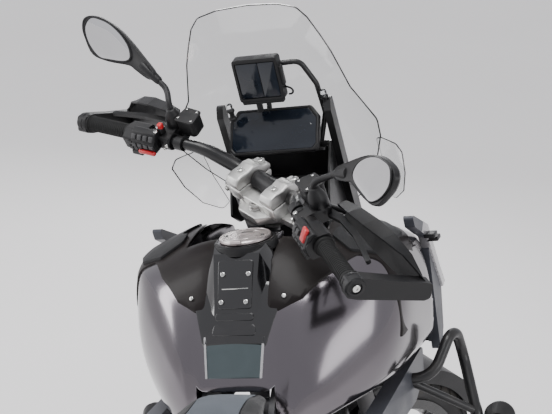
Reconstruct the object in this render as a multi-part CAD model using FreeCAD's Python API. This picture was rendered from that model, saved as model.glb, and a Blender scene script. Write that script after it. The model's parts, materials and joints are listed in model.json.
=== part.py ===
import FreeCAD
import Part
import math
import os

# Adventure motorcycle with a flat-twin engine, parked on its side stand with the bars at the right stop.
# Millimetres. Everything is first built upright and straight ahead in the bike frame:
# +X forward, +Y left, +Z up, zero on the ground under the rear axle. place() then steers and leans it.

# Chassis
WHEELBASE = 1534.0
RAKE_DEG = 26.2
TRAIL = 118.8
STEER_STOP_DEG = 37.0
LEAN_DEG = 13.0

# Wheels and tyres
FRONT_TYRE_R = 325.0
FRONT_CROWN_R = 62.0
FRONT_RIM_R = 241.0
FRONT_BEAD_HALF = 44.0
REAR_TYRE_R = 318.0
REAR_CROWN_R = 90.0
REAR_RIM_R = 216.0
REAR_BEAD_HALF = 66.0
RIM_FLANGE = 11.0
RIM_FLANGE_THICK = 6.0
SPOKE_R = 2.4
SPOKES_PER_SIDE = 16
SPOKE_LEAN_DEG = 26.0
SIDEWALL_DEG = 68.0
RUNNING_GAP = 0.3
CLEAR = 5.0

# Front end, in the fork frame: forward of, beside and along the steering axis
FORK_HALF = 108.0
SLIDER_R = 26.0
FORK_TUBE_R = 21.5
SLIDER_TOP = 690.0
FORK_TOP = 1322.0
LOWER_YOKE_UP = 792.0
LOWER_YOKE_THICK = 36.0
TOP_YOKE_UP = 1296.0
TOP_YOKE_THICK = 20.0
STEM_R = 15.0
HEAD_R = 32.0
HEAD_UP = 1188.0
HEAD_LENGTH = 100.0
AXLE_R = 12.5
AXLE_BORE_R = 9.0
AXLE_BOSS_R = 25.0
BALL_R = 10.0

# Handlebar
BAR_FORWARD = 22.0
BAR_UP = 1347.0
BAR_R = 11.0
BAR_CENTRE_R = 16.0
CLAMP_Y = 48.0
GRIP_R = 17.0
GRIP_LENGTH = 125.0

# Brakes
FRONT_DISC_R = 155.0
FRONT_DISC_Y = 69.0
REAR_DISC_R = 138.0
REAR_DISC_Y = 80.0
DISC_THICK = 5.0

# Rear end
REAR_AXLE_R = 26.0
REAR_AXLE_BORE_R = 20.0
PIVOT_X = 565.0
PIVOT_Z = 395.0
ARM_INNER_Y = 97.0
DRIVE_R = 82.0
DRIVE_OUTER_Y = 172.0

# Engine
CRANK_Z = 470.0
CASE_HALF = 120.0
CYLINDER_X = 1005.0
CYLINDER_STAGGER = 18.0
BARREL_END_Y = 232.0
HEAD_END_Y = 318.0
COVER_END_Y = 372.0

# Exhaust
HEADER_R = 21.0
LINK_PIPE_R = 26.0
PIPE_CLEAR = 4.0

# Tank, covers and cap
COVER_THICK = 5.0
PANEL_HALF = 73.0
CAP_X = 983.0
CAP_R = 54.0
CAP_RING_R = 64.0
CAP_THICK = 8.0
CAP_RING_TOP = 1137.0
CAP_HINGE = (CAP_X - CAP_R - 3.0, CAP_RING_TOP + CAP_THICK + 0.3)
TUNNEL_HALF = 84.0
FRAME_PLATE_Y = 68.0
FRAME_PLATE_THICK = 12.0

# Windscreen
SCREEN_THICK = 4.0
SCREEN_CURVE_R = 400.0
SCREEN_TOP_X = 1196.0
SCREEN_TOP_Z = 1576.0
SCREEN_LEAN_DEG = 27.0

# Auxiliary lamp: the back of its shell, left side
AUX_LAMP = (1236.0, 424.0, 612.0)

# Stands
SIDE_PIVOT = (752.0, 124.0, 300.0)
SIDE_FOOT_X = 790.0
SIDE_FOOT_Y = 300.0
SIDE_FOOT_R = 30.0
SIDE_FOOT_THICK = 8.0
CENTRE_PIVOT_X = 590.0
CENTRE_PIVOT_Z = 292.0
CENTRE_LEG_HALF = 92.0

# Rack
RACK_TOP_Z = 992.0
RACK_THICK = 8.0
RACK_BOLT_HALF = 60.0
RACK_BOLT_R = 3.4
RACK_X = -95.0

TUBE_R = 12.5

X_AXIS = FreeCAD.Vector(1, 0, 0)
Y_AXIS = FreeCAD.Vector(0, 1, 0)
Z_AXIS = FreeCAD.Vector(0, 0, 1)

RAKE = math.radians(RAKE_DEG)
AXIS_UP = FreeCAD.Vector(-math.sin(RAKE), 0, math.cos(RAKE))
AXIS_FORWARD = FreeCAD.Vector(math.cos(RAKE), 0, math.sin(RAKE))
TRAIL_POINT = FreeCAD.Vector(WHEELBASE + TRAIL, 0, 0)
FRONT_AXLE = FreeCAD.Vector(WHEELBASE, 0, FRONT_TYRE_R)
REAR_AXLE = FreeCAD.Vector(0, 0, REAR_TYRE_R)
AXLE_FORWARD = (FRONT_AXLE - TRAIL_POINT).dot(AXIS_FORWARD)
AXLE_UP = (FRONT_AXLE - TRAIL_POINT).dot(AXIS_UP)
FORK_FRAME = FreeCAD.Placement(
    TRAIL_POINT, FreeCAD.Rotation(AXIS_FORWARD, Y_AXIS, AXIS_UP, "ZXY")
)
SWEEP_R = math.hypot(AXLE_FORWARD, FORK_HALF)


# Plain building helpers

def vec(x, y, z):
    return FreeCAD.Vector(x, y, z)


def fuse(shapes):
    shapes = list(shapes)
    if len(shapes) == 1:
        return shapes[0]
    return shapes[0].multiFuse(shapes[1:]).removeSplitter()


def mirrored(shape):
    return shape.mirror(vec(0, 0, 0), Y_AXIS)


def both(shape):
    """The shape and its mirror image, as separate solids."""
    return Part.makeCompound([shape, mirrored(shape)])


def rod(start, end, radius, end_radius=None):
    way = end - start
    if end_radius is None or abs(end_radius - radius) < 1e-6:
        return Part.makeCylinder(radius, way.Length, start, way)
    return Part.makeCone(radius, end_radius, way.Length, start, way)


def tube_y(x, z, y0, y1, radius, bore=0.0):
    """A round bar along Y, with a bore if one is given."""
    bar = Part.makeCylinder(radius, y1 - y0, vec(x, y0, z), Y_AXIS)
    if bore:
        bar = bar.cut(Part.makeCylinder(bore, y1 - y0 + 2, vec(x, y0 - 1, z), Y_AXIS))
    return bar


def block(x0, x1, y0, y1, z0, z1):
    return Part.makeBox(x1 - x0, y1 - y0, z1 - z0, vec(x0, y0, z0))


def rounded_wire(points, radius):
    """A closed wire through the points, with each corner rounded as far as its sides allow."""
    count = len(points)
    edges = []
    ends = []
    for i, corner in enumerate(points):
        before = points[i - 1] - corner
        after = points[(i + 1) % count] - corner
        half = before.getAngle(after) / 2
        flat = abs(half - math.pi / 2) < 0.02
        reach = 0.0 if flat or radius <= 0 else min(
            radius / math.tan(half), 0.45 * min(before.Length, after.Length)
        )
        before.normalize()
        after.normalize()
        if reach <= 0:
            ends.append((corner, corner, None))
            continue
        bend = reach * math.tan(half)
        inward = (before + after).normalize()
        middle = corner + inward * (bend / math.sin(half) - bend)
        ends.append((corner + before * reach, corner + after * reach, middle))
    for i, (start, end, middle) in enumerate(ends):
        if middle is not None:
            edges.append(Part.Arc(start, middle, end).toShape())
        following = ends[(i + 1) % count][0]
        if (following - end).Length > 1e-6:
            edges.append(Part.makeLine(end, following))
    return Part.Wire(edges)


def prism(points, way, radius=0.0):
    return Part.Face(rounded_wire(points, radius)).extrude(way)


def side_plate(outline, y0, y1, radius=0.0):
    """A plate whose outline is given as (x, z), from y0 to y1."""
    return prism([vec(x, y0, z) for x, z in outline], vec(0, y1 - y0, 0), radius)


def plan_plate(outline, z0, z1, radius=0.0):
    """A plate whose outline is given as (x, y), from z0 to z1."""
    return prism([vec(x, y, z0) for x, y in outline], vec(0, 0, z1 - z0), radius)


def loft(wires, ruled=False):
    return Part.makeLoft(wires, True, ruled)


def box_loft(sections, radius):
    """A loft along X of rounded rectangles: rows of (x, y0, y1, z0, z1)."""
    wires = []
    for x, y0, y1, z0, z1 in sections:
        corners = [vec(x, y0, z0), vec(x, y1, z0), vec(x, y1, z1), vec(x, y0, z1)]
        wires.append(rounded_wire(corners, radius))
    return loft(wires)


def bent_tube(points, radius, bend=60.0):
    """A round tube along straight runs joined by tangent arcs."""
    points = [vec(*p) for p in points]
    edges = []
    start = points[0]
    for i in range(1, len(points) - 1):
        corner = points[i]
        before = points[i - 1] - corner
        after = points[i + 1] - corner
        half = before.getAngle(after) / 2
        reach = min(bend / math.tan(half), 0.45 * min(before.Length, after.Length))
        before.normalize()
        after.normalize()
        arc_r = reach * math.tan(half)
        middle = corner + (before + after).normalize() * (arc_r / math.sin(half) - arc_r)
        edges.append(Part.makeLine(start, corner + before * reach))
        edges.append(Part.Arc(corner + before * reach, middle, corner + after * reach).toShape())
        start = corner + after * reach
    edges.append(Part.makeLine(start, points[-1]))
    first = (points[1] - points[0]).normalize()
    ring = Part.Wire(Part.makeCircle(radius, points[0], first))
    return Part.Wire(edges).makePipeShell([ring], True, True)


def revolved(outline, centre):
    """A solid of revolution about the Y line through centre: outline rows are (y, radius)."""
    points = [centre + vec(0, y, r) for y, r in outline]
    points.append(points[0])
    face = Part.Face(Part.makePolygon(points))
    return face.revolve(centre, Y_AXIS, 360)


def in_fork_frame(shape):
    shape = shape.copy()
    shape.Placement = FORK_FRAME.multiply(shape.Placement)
    return shape


def fork_point(forward, y, up):
    return TRAIL_POINT + AXIS_FORWARD * forward + Y_AXIS * y + AXIS_UP * up


# Wheels

def tyre(centre, tyre_r, crown_r, rim_r, bead_half):
    angle = math.radians(SIDEWALL_DEG)
    ring_r = tyre_r - crown_r
    side = (crown_r * math.sin(angle), ring_r + crown_r * math.cos(angle))
    left = [centre + vec(0, y, r) for y, r in (
        (-bead_half, rim_r), (-bead_half, rim_r + RIM_FLANGE + 3), (-side[0], side[1]))]
    right = [centre + vec(0, y, r) for y, r in (
        (side[0], side[1]), (bead_half, rim_r + RIM_FLANGE + 3), (bead_half, rim_r))]
    edges = [
        Part.makeLine(left[0], left[1]),
        Part.makeLine(left[1], left[2]),
        Part.Arc(left[2], centre + vec(0, 0, tyre_r), right[0]).toShape(),
        Part.makeLine(right[0], right[1]),
        Part.makeLine(right[1], right[2]),
        Part.makeLine(right[2], left[0]),
    ]
    return Part.Face(Part.Wire(edges)).revolve(centre, Y_AXIS, 360)


def spoked_rim(centre, rim_r, bead_half, hub_r, hub_half, bore_r):
    flange_y = bead_half + RIM_FLANGE_THICK
    well_half = bead_half * 0.35
    half = [
        (bead_half, rim_r), (bead_half, rim_r + RIM_FLANGE), (flange_y, rim_r + RIM_FLANGE),
        (flange_y, rim_r - 14), (bead_half - 6, rim_r - 16), (well_half, rim_r - 30),
    ]
    outline = half + [(-y, r) for y, r in reversed(half)]
    rim = revolved(outline, centre)
    flange_r = hub_r + 12
    hub_half_outline = [
        (hub_half, bore_r), (hub_half, hub_r - 8), (hub_half - 8, flange_r),
        (hub_half - 14, flange_r), (hub_half - 22, hub_r - 6),
    ]
    hub = revolved(hub_half_outline + [(-y, r) for y, r in reversed(hub_half_outline)], centre)
    spokes = []
    pitch = 360.0 / SPOKES_PER_SIDE
    for side in (1, -1):
        for i in range(SPOKES_PER_SIDE):
            lean = SPOKE_LEAN_DEG if i % 2 else -SPOKE_LEAN_DEG
            hub_angle = math.radians(pitch * (i + 0.25 * side))
            rim_angle = hub_angle + math.radians(lean)
            start = centre + vec(
                (flange_r - 7) * math.cos(hub_angle), side * (hub_half - 12), (flange_r - 7) * math.sin(hub_angle))
            end_r = rim_r - 12
            end = centre + vec(
                end_r * math.cos(rim_angle), side * (bead_half - 1), end_r * math.sin(rim_angle))
            spokes.append(rod(start, end, SPOKE_R))
    return fuse([rim, hub] + spokes)


def brake_disc(centre, outer_r, hub_r, y):
    """A floating disc: an outer ring on a carrier with round windows."""
    ring = tube_y(centre.x, centre.z, y, y + DISC_THICK, outer_r, outer_r - 36)
    carrier = tube_y(centre.x, centre.z, y + 0.5, y + DISC_THICK - 0.5, outer_r - 30, hub_r)
    windows = []
    window_r = (outer_r - 36 - hub_r) * 0.36
    middle_r = (outer_r - 34 + hub_r) / 2
    for i in range(6):
        turn = math.radians(60 * i)
        windows.append(tube_y(
            centre.x + middle_r * math.cos(turn), centre.z + middle_r * math.sin(turn),
            y - 1, y + DISC_THICK + 1, window_r))
    return fuse([ring, carrier]).cut(Part.makeCompound(windows))


def front_tyre():
    return tyre(FRONT_AXLE, FRONT_TYRE_R, FRONT_CROWN_R, FRONT_RIM_R, FRONT_BEAD_HALF)


def front_rim():
    return spoked_rim(FRONT_AXLE, FRONT_RIM_R, FRONT_BEAD_HALF, 36, 62, AXLE_R + RUNNING_GAP)


def front_discs():
    carrier_bore = 30.0
    disc = brake_disc(FRONT_AXLE, FRONT_DISC_R, carrier_bore, FRONT_DISC_Y)
    spacer = tube_y(FRONT_AXLE.x, FRONT_AXLE.z, 62, FRONT_DISC_Y + 1, 40, AXLE_R + RUNNING_GAP)
    cap = tube_y(FRONT_AXLE.x, FRONT_AXLE.z, FRONT_DISC_Y, FRONT_DISC_Y + DISC_THICK, 40, AXLE_R + RUNNING_GAP)
    return both(fuse([disc, spacer, cap]))


def rear_tyre():
    return tyre(REAR_AXLE, REAR_TYRE_R, REAR_CROWN_R, REAR_RIM_R, REAR_BEAD_HALF)


def rear_rim():
    return spoked_rim(REAR_AXLE, REAR_RIM_R, REAR_BEAD_HALF, 58, 70, REAR_AXLE_R + RUNNING_GAP)


def rear_disc():
    disc = brake_disc(REAR_AXLE, REAR_DISC_R, 48, REAR_DISC_Y)
    flange = tube_y(0, REAR_AXLE.z, 70, REAR_DISC_Y + DISC_THICK, 56, REAR_AXLE_R + RUNNING_GAP)
    return fuse([disc, flange])


# Front end, built along the steering axis

def leg_point(side, up, forward=None):
    return vec(AXLE_FORWARD if forward is None else forward, side * FORK_HALF, up)


def front_fork():
    pieces = []
    for side in (1, -1):
        slider = rod(leg_point(side, AXLE_UP - 20), leg_point(side, SLIDER_TOP), SLIDER_R)
        collar = rod(leg_point(side, SLIDER_TOP - 30), leg_point(side, SLIDER_TOP), SLIDER_R + 3)
        tube = rod(leg_point(side, SLIDER_TOP - 5), leg_point(side, FORK_TOP), FORK_TUBE_R)
        boss = rod(
            vec(AXLE_FORWARD, side * (FORK_HALF - SLIDER_R + 2), AXLE_UP),
            vec(AXLE_FORWARD, side * (FORK_HALF + SLIDER_R - 2), AXLE_UP), AXLE_BOSS_R)
        pieces += [slider, collar, tube, boss]
    outer = FORK_HALF + 26
    yoke_outline = [
        (-22, -30), (-22, 30), (8, 62), (10, outer - 8), (22, outer), (52, outer), (64, outer - 8),
        (60, 60), (48, 30), (48, -30), (60, -60), (64, 8 - outer), (52, -outer), (22, -outer),
        (10, 8 - outer), (8, -62),
    ]
    yoke = plan_plate(yoke_outline, LOWER_YOKE_UP, LOWER_YOKE_UP + LOWER_YOKE_THICK, 10)
    ball_pin = rod(vec(0, 0, LOWER_YOKE_UP - 44), vec(0, 0, LOWER_YOKE_UP + 2), BALL_R)
    fork = fuse(pieces + [yoke, ball_pin])
    bore = rod(
        vec(AXLE_FORWARD, -FORK_HALF - 60, AXLE_UP), vec(AXLE_FORWARD, FORK_HALF + 60, AXLE_UP),
        AXLE_R)
    return in_fork_frame(fork.cut(bore))


def front_axle():
    end = FORK_HALF + SLIDER_R + 4
    axle = tube_y(FRONT_AXLE.x, FRONT_AXLE.z, -end, end, AXLE_R, AXLE_BORE_R)
    return axle


def top_yoke():
    """The upper fork bridge with its two risers and bar clamps, and the steering stem under it."""
    outer = FORK_HALF + 27
    outline = [
        (-28, -30), (-28, 30), (6, 66), (8, outer - 8), (20, outer), (52, outer), (64, outer - 8),
        (58, 66), (44, 34), (44, -34), (58, -66), (64, 8 - outer), (52, -outer), (20, -outer),
        (8, 8 - outer), (6, -66),
    ]
    bridge = plan_plate(outline, TOP_YOKE_UP, TOP_YOKE_UP + TOP_YOKE_THICK, 10)
    legs = [
        rod(leg_point(side, TOP_YOKE_UP - 1), leg_point(side, FORK_TOP + 1), FORK_TUBE_R)
        for side in (1, -1)
    ]
    pieces = [bridge.cut(Part.makeCompound(legs))]
    half_width = 15.0
    for side in (1, -1):
        y = side * CLAMP_Y
        riser = side_plate(
            [(-2, TOP_YOKE_UP + 10), (46, TOP_YOKE_UP + 10), (BAR_FORWARD + 25, BAR_UP + 4),
             (BAR_FORWARD + 20, BAR_UP + 22), (BAR_FORWARD - 20, BAR_UP + 22), (BAR_FORWARD - 25, BAR_UP + 4)],
            y - half_width, y + half_width, 6)
        pieces.append(riser)
    web = plan_plate(
        [(0, -CLAMP_Y), (0, CLAMP_Y), (44, CLAMP_Y), (44, -CLAMP_Y)],
        TOP_YOKE_UP + 10, BAR_UP - BAR_CENTRE_R - 4, 4)
    pieces.append(web)
    stem = rod(vec(0, 0, HEAD_UP - 6), vec(0, 0, TOP_YOKE_UP + 2), STEM_R)
    pieces.append(stem)
    yoke = fuse(pieces)
    bar_hole = tube_y(BAR_FORWARD, BAR_UP, -90, 90, BAR_CENTRE_R)
    return in_fork_frame(yoke.cut(bar_hole))


# Bar route, left side, as (forward, y, up) in the fork frame
BAR_ROUTE = (
    (BAR_FORWARD, 74.0, BAR_UP),
    (-18.0, 197.0, 1417.0),
    (-98.0, 450.0, 1428.0),
)
TAPER_END = (8.9, 114.0, 1369.8)
TAPER_END_R = BAR_R + 1.0
BAR_MIDDLE_HALF = 80.0


def bar_end():
    return vec(*BAR_ROUTE[-1])


def bar_way():
    """The direction of the grip, from its inner to its outer end."""
    return (vec(*BAR_ROUTE[-1]) - vec(*BAR_ROUTE[-2])).normalize()


def handlebar():
    centre = tube_y(BAR_FORWARD, BAR_UP, -BAR_MIDDLE_HALF, BAR_MIDDLE_HALF, BAR_CENTRE_R)
    side = bent_tube(BAR_ROUTE, BAR_R, 60)
    taper = rod(vec(*BAR_ROUTE[0]), vec(*TAPER_END), BAR_CENTRE_R, TAPER_END_R)
    left = fuse([side, taper])
    bar = fuse([centre, left, mirrored(left)])
    return in_fork_frame(bar)


def grip_frame():
    """A placement with +X forward, +Y outward along the left grip and +Z up, at the bar's left end."""
    way = bar_way()
    forward = vec(1, 0, 0) - way * way.x
    forward.normalize()
    up = forward.cross(way)
    return FreeCAD.Placement(bar_end(), FreeCAD.Rotation(forward, way, up, "YXZ"))


def on_grip(shape):
    """Puts a shape built in the grip's frame on the left side of the bar, with its mirror image on the right."""
    shape = shape.copy()
    shape.Placement = grip_frame().multiply(shape.Placement)
    return in_fork_frame(both(shape))


def grips():
    body = tube_y(0, 0, -GRIP_LENGTH, 0, GRIP_R, BAR_R)
    inner_flange = tube_y(0, 0, -GRIP_LENGTH, -GRIP_LENGTH + 6, GRIP_R + 4, BAR_R)
    outer_flange = tube_y(0, 0, -5, 0, GRIP_R + 3, BAR_R)
    return on_grip(fuse([body, inner_flange, outer_flange]))


def level(forward, y, up):
    """A point given level with the ground, as seen from the bar end, in the grip's own raked frame."""
    rake = math.radians(RAKE_DEG)
    return vec(forward * math.cos(rake) + up * math.sin(rake), y, up * math.cos(rake) - forward * math.sin(rake))


# Shield of the hand guard. Rows: y outward, then (forward, up) of the lower edge, the crest and the rear lip
SHIELD_ROWS = (
    (22.0, (150, -42), (152, -24), (146, -6)),
    (2.0, (148, -41), (142, 4), (134, 8)),
    (-24.0, (140, -36), (130, 30), (112, 30)),
    (-66.0, (122, -26), (112, 50), (86, 42)),
    (-112.0, (103, -12), (96, 58), (66, 48)),
    (-160.0, (90, 2), (84, 56), (56, 48)),
    (-202.0, (78, 14), (72, 50), (54, 44)),
)
SHIELD_THICK = 4.0
STAY_Y = -262.0


def hand_guards():
    """Each guard: a deep bar-end arm that runs forward, a shield with a rolled upper lip, and an inner stay."""
    outline = [(-18, 16), (-16, -20), (8, -26), (70, -33), (146, -42), (158, -38), (158, -8), (146, -4), (80, 6), (10, 19)]
    arm = prism([level(forward, 0.3, up) for forward, up in outline], vec(0, 24, 0), 8)
    sections = []
    for y, low, crest, lip in SHIELD_ROWS:
        sections.append(Part.makePolygon([
            level(low[0], y, low[1]), level(crest[0], y, crest[1]), level(lip[0], y, lip[1]),
            level(lip[0], y, lip[1] - SHIELD_THICK), level(crest[0] - SHIELD_THICK, y, crest[1] - SHIELD_THICK),
            level(low[0] - SHIELD_THICK, y, low[1]), level(low[0], y, low[1]),
        ]))
    shield = loft(sections, True)
    last = SHIELD_ROWS[-1][0]
    stay_end = level(70, last + 6, 30)
    stay = bent_tube([(0, STAY_Y, 0), (30, STAY_Y, 0), tuple(stay_end - vec(14, 26, 0)), tuple(stay_end)], 6, 22)
    clamp = tube_y(0, 0, STAY_Y - 9, STAY_Y + 9, BAR_R + 5)
    end_cap = tube_y(0, 0, 0.3, 24, 19)
    guard = fuse([arm, shield, stay, clamp, end_cap])
    bar_hole = tube_y(0, 0, STAY_Y - 30, 0.3, BAR_R)
    return on_grip(guard.cut(bar_hole))


# Places along the grip, from its outer end: the switch block, the lever perch and the fluid reservoir
SWITCH_OUTER_Y = -GRIP_LENGTH - 1
SWITCH_LENGTH = 78.0
PERCH_OUTER_Y = SWITCH_OUTER_Y - SWITCH_LENGTH - 2
PERCH_LENGTH = 34.0
RESERVOIR_Y = PERCH_OUTER_Y - 40


def switch_block():
    """A cluster with a key face towards the rider, a waist and a thumb shelf, split from the perch by a gap."""
    inner = SWITCH_OUTER_Y - SWITCH_LENGTH
    face = [(-30, -20), (14, -24), (24, -6), (20, 20), (-12, 26), (-34, 14)]
    core = side_plate(face, inner + 26, SWITCH_OUTER_Y, 7)
    waist = tube_y(0, 0, inner, inner + 28, 19)
    collar = tube_y(0, 0, SWITCH_OUTER_Y - 8, SWITCH_OUTER_Y, 23)
    shelf = side_plate([(-38, -28), (-8, -30), (-6, -18), (-36, -14)], inner + 34, SWITCH_OUTER_Y - 18, 4)
    keys = []
    for row in range(2):
        for column in range(3):
            y0 = SWITCH_OUTER_Y - 15 - 13 * column
            z0 = 9 - 13 * row
            keys.append(block(-37, -24, y0 - 10, y0, z0 - 8, z0 + 1))
    return fuse([core, waist, collar, shelf] + keys)


def bar_controls():
    """Switch blocks, lever perches with their fluid reservoirs, and the levers in front of the grips."""
    inner = PERCH_OUTER_Y - PERCH_LENGTH
    perch = side_plate([(-16, -15), (44, -14), (52, -2), (52, 14), (16, 18), (-16, 16)], inner, PERCH_OUTER_Y, 6)
    root = PERCH_OUTER_Y - 8
    lever = plan_plate(
        [(34, root - 14), (56, root - 10), (68, root + 34), (68, root + 100), (60, root + 150), (54, root + 186),
         (44, root + 186), (50, root + 148), (56, root + 98), (54, root + 40), (40, root)], -9, -1, 5)
    reservoir = plan_plate(
        [(20, RESERVOIR_Y - 46), (62, RESERVOIR_Y - 40), (66, RESERVOIR_Y), (24, RESERVOIR_Y + 4)], 6, 40, 8)
    neck = block(30, 50, RESERVOIR_Y - 6, inner + 4, 4, 14)
    body = fuse([switch_block(), perch, lever, reservoir, neck])
    return on_grip(body.cut(tube_y(0, 0, RESERVOIR_Y - 70, 2, BAR_R)))


# Mirror: the middle of its face in the bike frame before steering, and the outline of its shell (y outward, z up)
MIRROR_CENTRE = vec(964.0, 438.0, 1428.5)
MIRROR_YAW_DEG = 17.5
MIRROR_PITCH_DEG = 8.0
MIRROR_DEPTH = 26.0
MIRROR_OUTLINE = (
    (80, 34), (61, 46), (21, 47), (-21, 35), (-58, 16), (-102, -12), (-139, -38), (-128, -55), (-91, -45),
    (-67, -38), (-8, -43), (40, -38), (68, -8), (80, 13),
)
MIRROR_BASE = (39.0, -226.0, 12.0)


def mirror_placement():
    turn = FreeCAD.Rotation(Z_AXIS, MIRROR_YAW_DEG).multiply(FreeCAD.Rotation(Y_AXIS, MIRROR_PITCH_DEG))
    return FreeCAD.Placement(MIRROR_CENTRE, turn)


def mirrors():
    """A long teardrop shell whose inner end tapers into a bent stem, with a boot where it meets the perch."""
    wires = []
    # the shell narrows towards its back
    for depth, share in ((0, 1.0), (10, 1.0), (20, 0.82), (MIRROR_DEPTH, 0.55)):
        wires.append(rounded_wire([vec(depth, y * share, z * share) for y, z in MIRROR_OUTLINE], 9 * share))
    shell = loft(wires)
    glass_bed = rounded_wire([vec(-1, y * 0.86, z * 0.84) for y, z in MIRROR_OUTLINE if y > -100], 9)
    shell = shell.cut(Part.Face(glass_bed).extrude(vec(4, 0, 0)))
    placed = mirror_placement()
    shell.Placement = placed
    base = FORK_FRAME.multVec(grip_frame().multVec(vec(*MIRROR_BASE)))
    lift = FORK_FRAME.Rotation.multVec(grip_frame().Rotation.multVec(vec(0, 0, 1)))
    neck_end = placed.multVec(vec(10, -120, -41))
    neck_low = placed.multVec(vec(10, -170, -62))
    stem = bent_tube([tuple(base), tuple(base + lift * 50), tuple(neck_low), tuple(neck_end)], 6, 30)
    boot = rod(base, base + lift * 36, 13, 10)
    socket = rod(neck_low + (neck_end - neck_low) * 0.4, placed.multVec(vec(9, -96, -30)), 8, 13)
    return both(fuse([shell, stem, boot, socket]))


def front_fender():
    """A hugger over the tyre with side flanges, carried on stays from the sliders."""
    gap = 13.0
    thick = 4.0
    inner = FRONT_TYRE_R + gap
    half = 66.0
    hoop = revolved([(-half, inner), (half, inner), (half, inner + thick), (-half, inner + thick)], FRONT_AXLE)
    flange = revolved([(half - thick, inner - 34), (half, inner - 34), (half, inner + 1), (half - thick, inner + 1)], FRONT_AXLE)
    ring = fuse([hoop, flange, mirrored(flange)])
    reach = inner + thick + 5
    wedge = side_plate(
        [(0, 0), (reach * 1.1, reach * 0.45), (reach, reach * 1.2), (-reach * 1.1, reach * 1.2), (-reach * 1.25, reach * 0.28)],
        -half - 2, half + 2)
    wedge.translate(FRONT_AXLE)
    guard = ring.common(wedge)
    stay = side_plate([(AXLE_FORWARD - 34, 580), (AXLE_FORWARD + 34, 580), (AXLE_FORWARD + 56, 672), (AXLE_FORWARD - 56, 672)],
                      half - 1, FORK_HALF - SLIDER_R + 4, 8)
    stay = in_fork_frame(stay)
    return fuse([guard, stay, mirrored(stay)])


def front_calipers():
    """Radial calipers bolted behind the sliders, each straddling its disc."""
    slot0 = FRONT_DISC_Y - CLEAR
    slot1 = FRONT_DISC_Y + DISC_THICK + CLEAR
    angle = math.radians(RAKE_DEG + 118)
    middle = vec(math.cos(angle), 0, math.sin(angle))
    body = plan_plate([(-62, 58), (62, 58), (62, 98), (-62, 98)], -30, 42, 8)
    slot = block(-80, 80, slot0, slot1, -60, 20 + CLEAR + 2)
    body = body.cut(slot)
    radial = FreeCAD.Rotation(Y_AXIS, 90 - math.degrees(math.atan2(middle.z, middle.x)))
    body.Placement = FreeCAD.Placement(FRONT_AXLE + middle * (FRONT_DISC_R - 20), radial)
    lug_start = FRONT_AXLE + middle * (FRONT_DISC_R - 18) + vec(0, 94, 0)
    lug_end = fork_point(AXLE_FORWARD, FORK_HALF, AXLE_UP + 95)
    lug = rod(lug_start, lug_end, 9)
    lug_low = rod(lug_start + AXIS_UP * -30, fork_point(AXLE_FORWARD, FORK_HALF, AXLE_UP + 60), 9)
    slider = rod(fork_point(AXLE_FORWARD, FORK_HALF, AXLE_UP), fork_point(AXLE_FORWARD, FORK_HALF, SLIDER_TOP), SLIDER_R)
    return both(fuse([body, lug, lug_low]).cut(slider))


# Frame and rear end

def main_frame():
    outline = [
        (1078, 1128), (1128, 1118), (1188, 940), (1166, 760), (1122, 640), (1078, 650), (1062, 790),
        (960, 880), (836, 800), (720, 620), (650, 500), (612, 330), (530, 340), (528, 450), (610, 640),
        (756, 796), (868, 905), (1058, 985),
    ]
    plate = side_plate(outline, FRAME_PLATE_Y, FRAME_PLATE_Y + FRAME_PLATE_THICK, 22)
    head = rod(fork_point(0, 0, HEAD_UP), fork_point(0, 0, HEAD_UP + HEAD_LENGTH), HEAD_R)
    gusset = side_plate([(1062, 1080), (1118, 1096), (1150, 1000), (1130, 930), (1076, 940)],
                        -FRAME_PLATE_Y - 1, FRAME_PLATE_Y + 1, 10)
    pivot = tube_y(PIVOT_X, PIVOT_Z, -FRAME_PLATE_Y - 1, FRAME_PLATE_Y + 1, 24)
    cross = tube_y(822, 836, -FRAME_PLATE_Y - 1, FRAME_PLATE_Y + 1, 16)
    stem_hole = rod(fork_point(0, 0, HEAD_UP - 60), fork_point(0, 0, HEAD_UP + HEAD_LENGTH + 5), STEM_R + RUNNING_GAP)
    return fuse([plate, mirrored(plate), head, gusset, pivot, cross]).cut(stem_hole)


def rear_frame():
    inner = FRAME_PLATE_Y + FRAME_PLATE_THICK
    upper = bent_tube([(788, inner + 8, 788), (600, 100, 800), (380, 108, 808), (-60, 100, 880)], TUBE_R, 200)
    lower = bent_tube([(640, inner + 8, 600), (470, 102, 690), (120, 104, 838)], 11, 120)
    brace = rod(vec(470, 102, 690), vec(400, 108, 806), 9)
    tab = block(764, 800, inner, inner + 12, 764, 808)
    foot = block(616, 656, inner, inner + 12, 582, 622)
    side = fuse([upper, lower, brace, tab, foot])
    bars = [rod(vec(x, -100, z), vec(x, 100, z), 9) for x, z in ((-40, 877), (150, 846), (395, 808))]
    return fuse([side, mirrored(side)] + bars)


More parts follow.
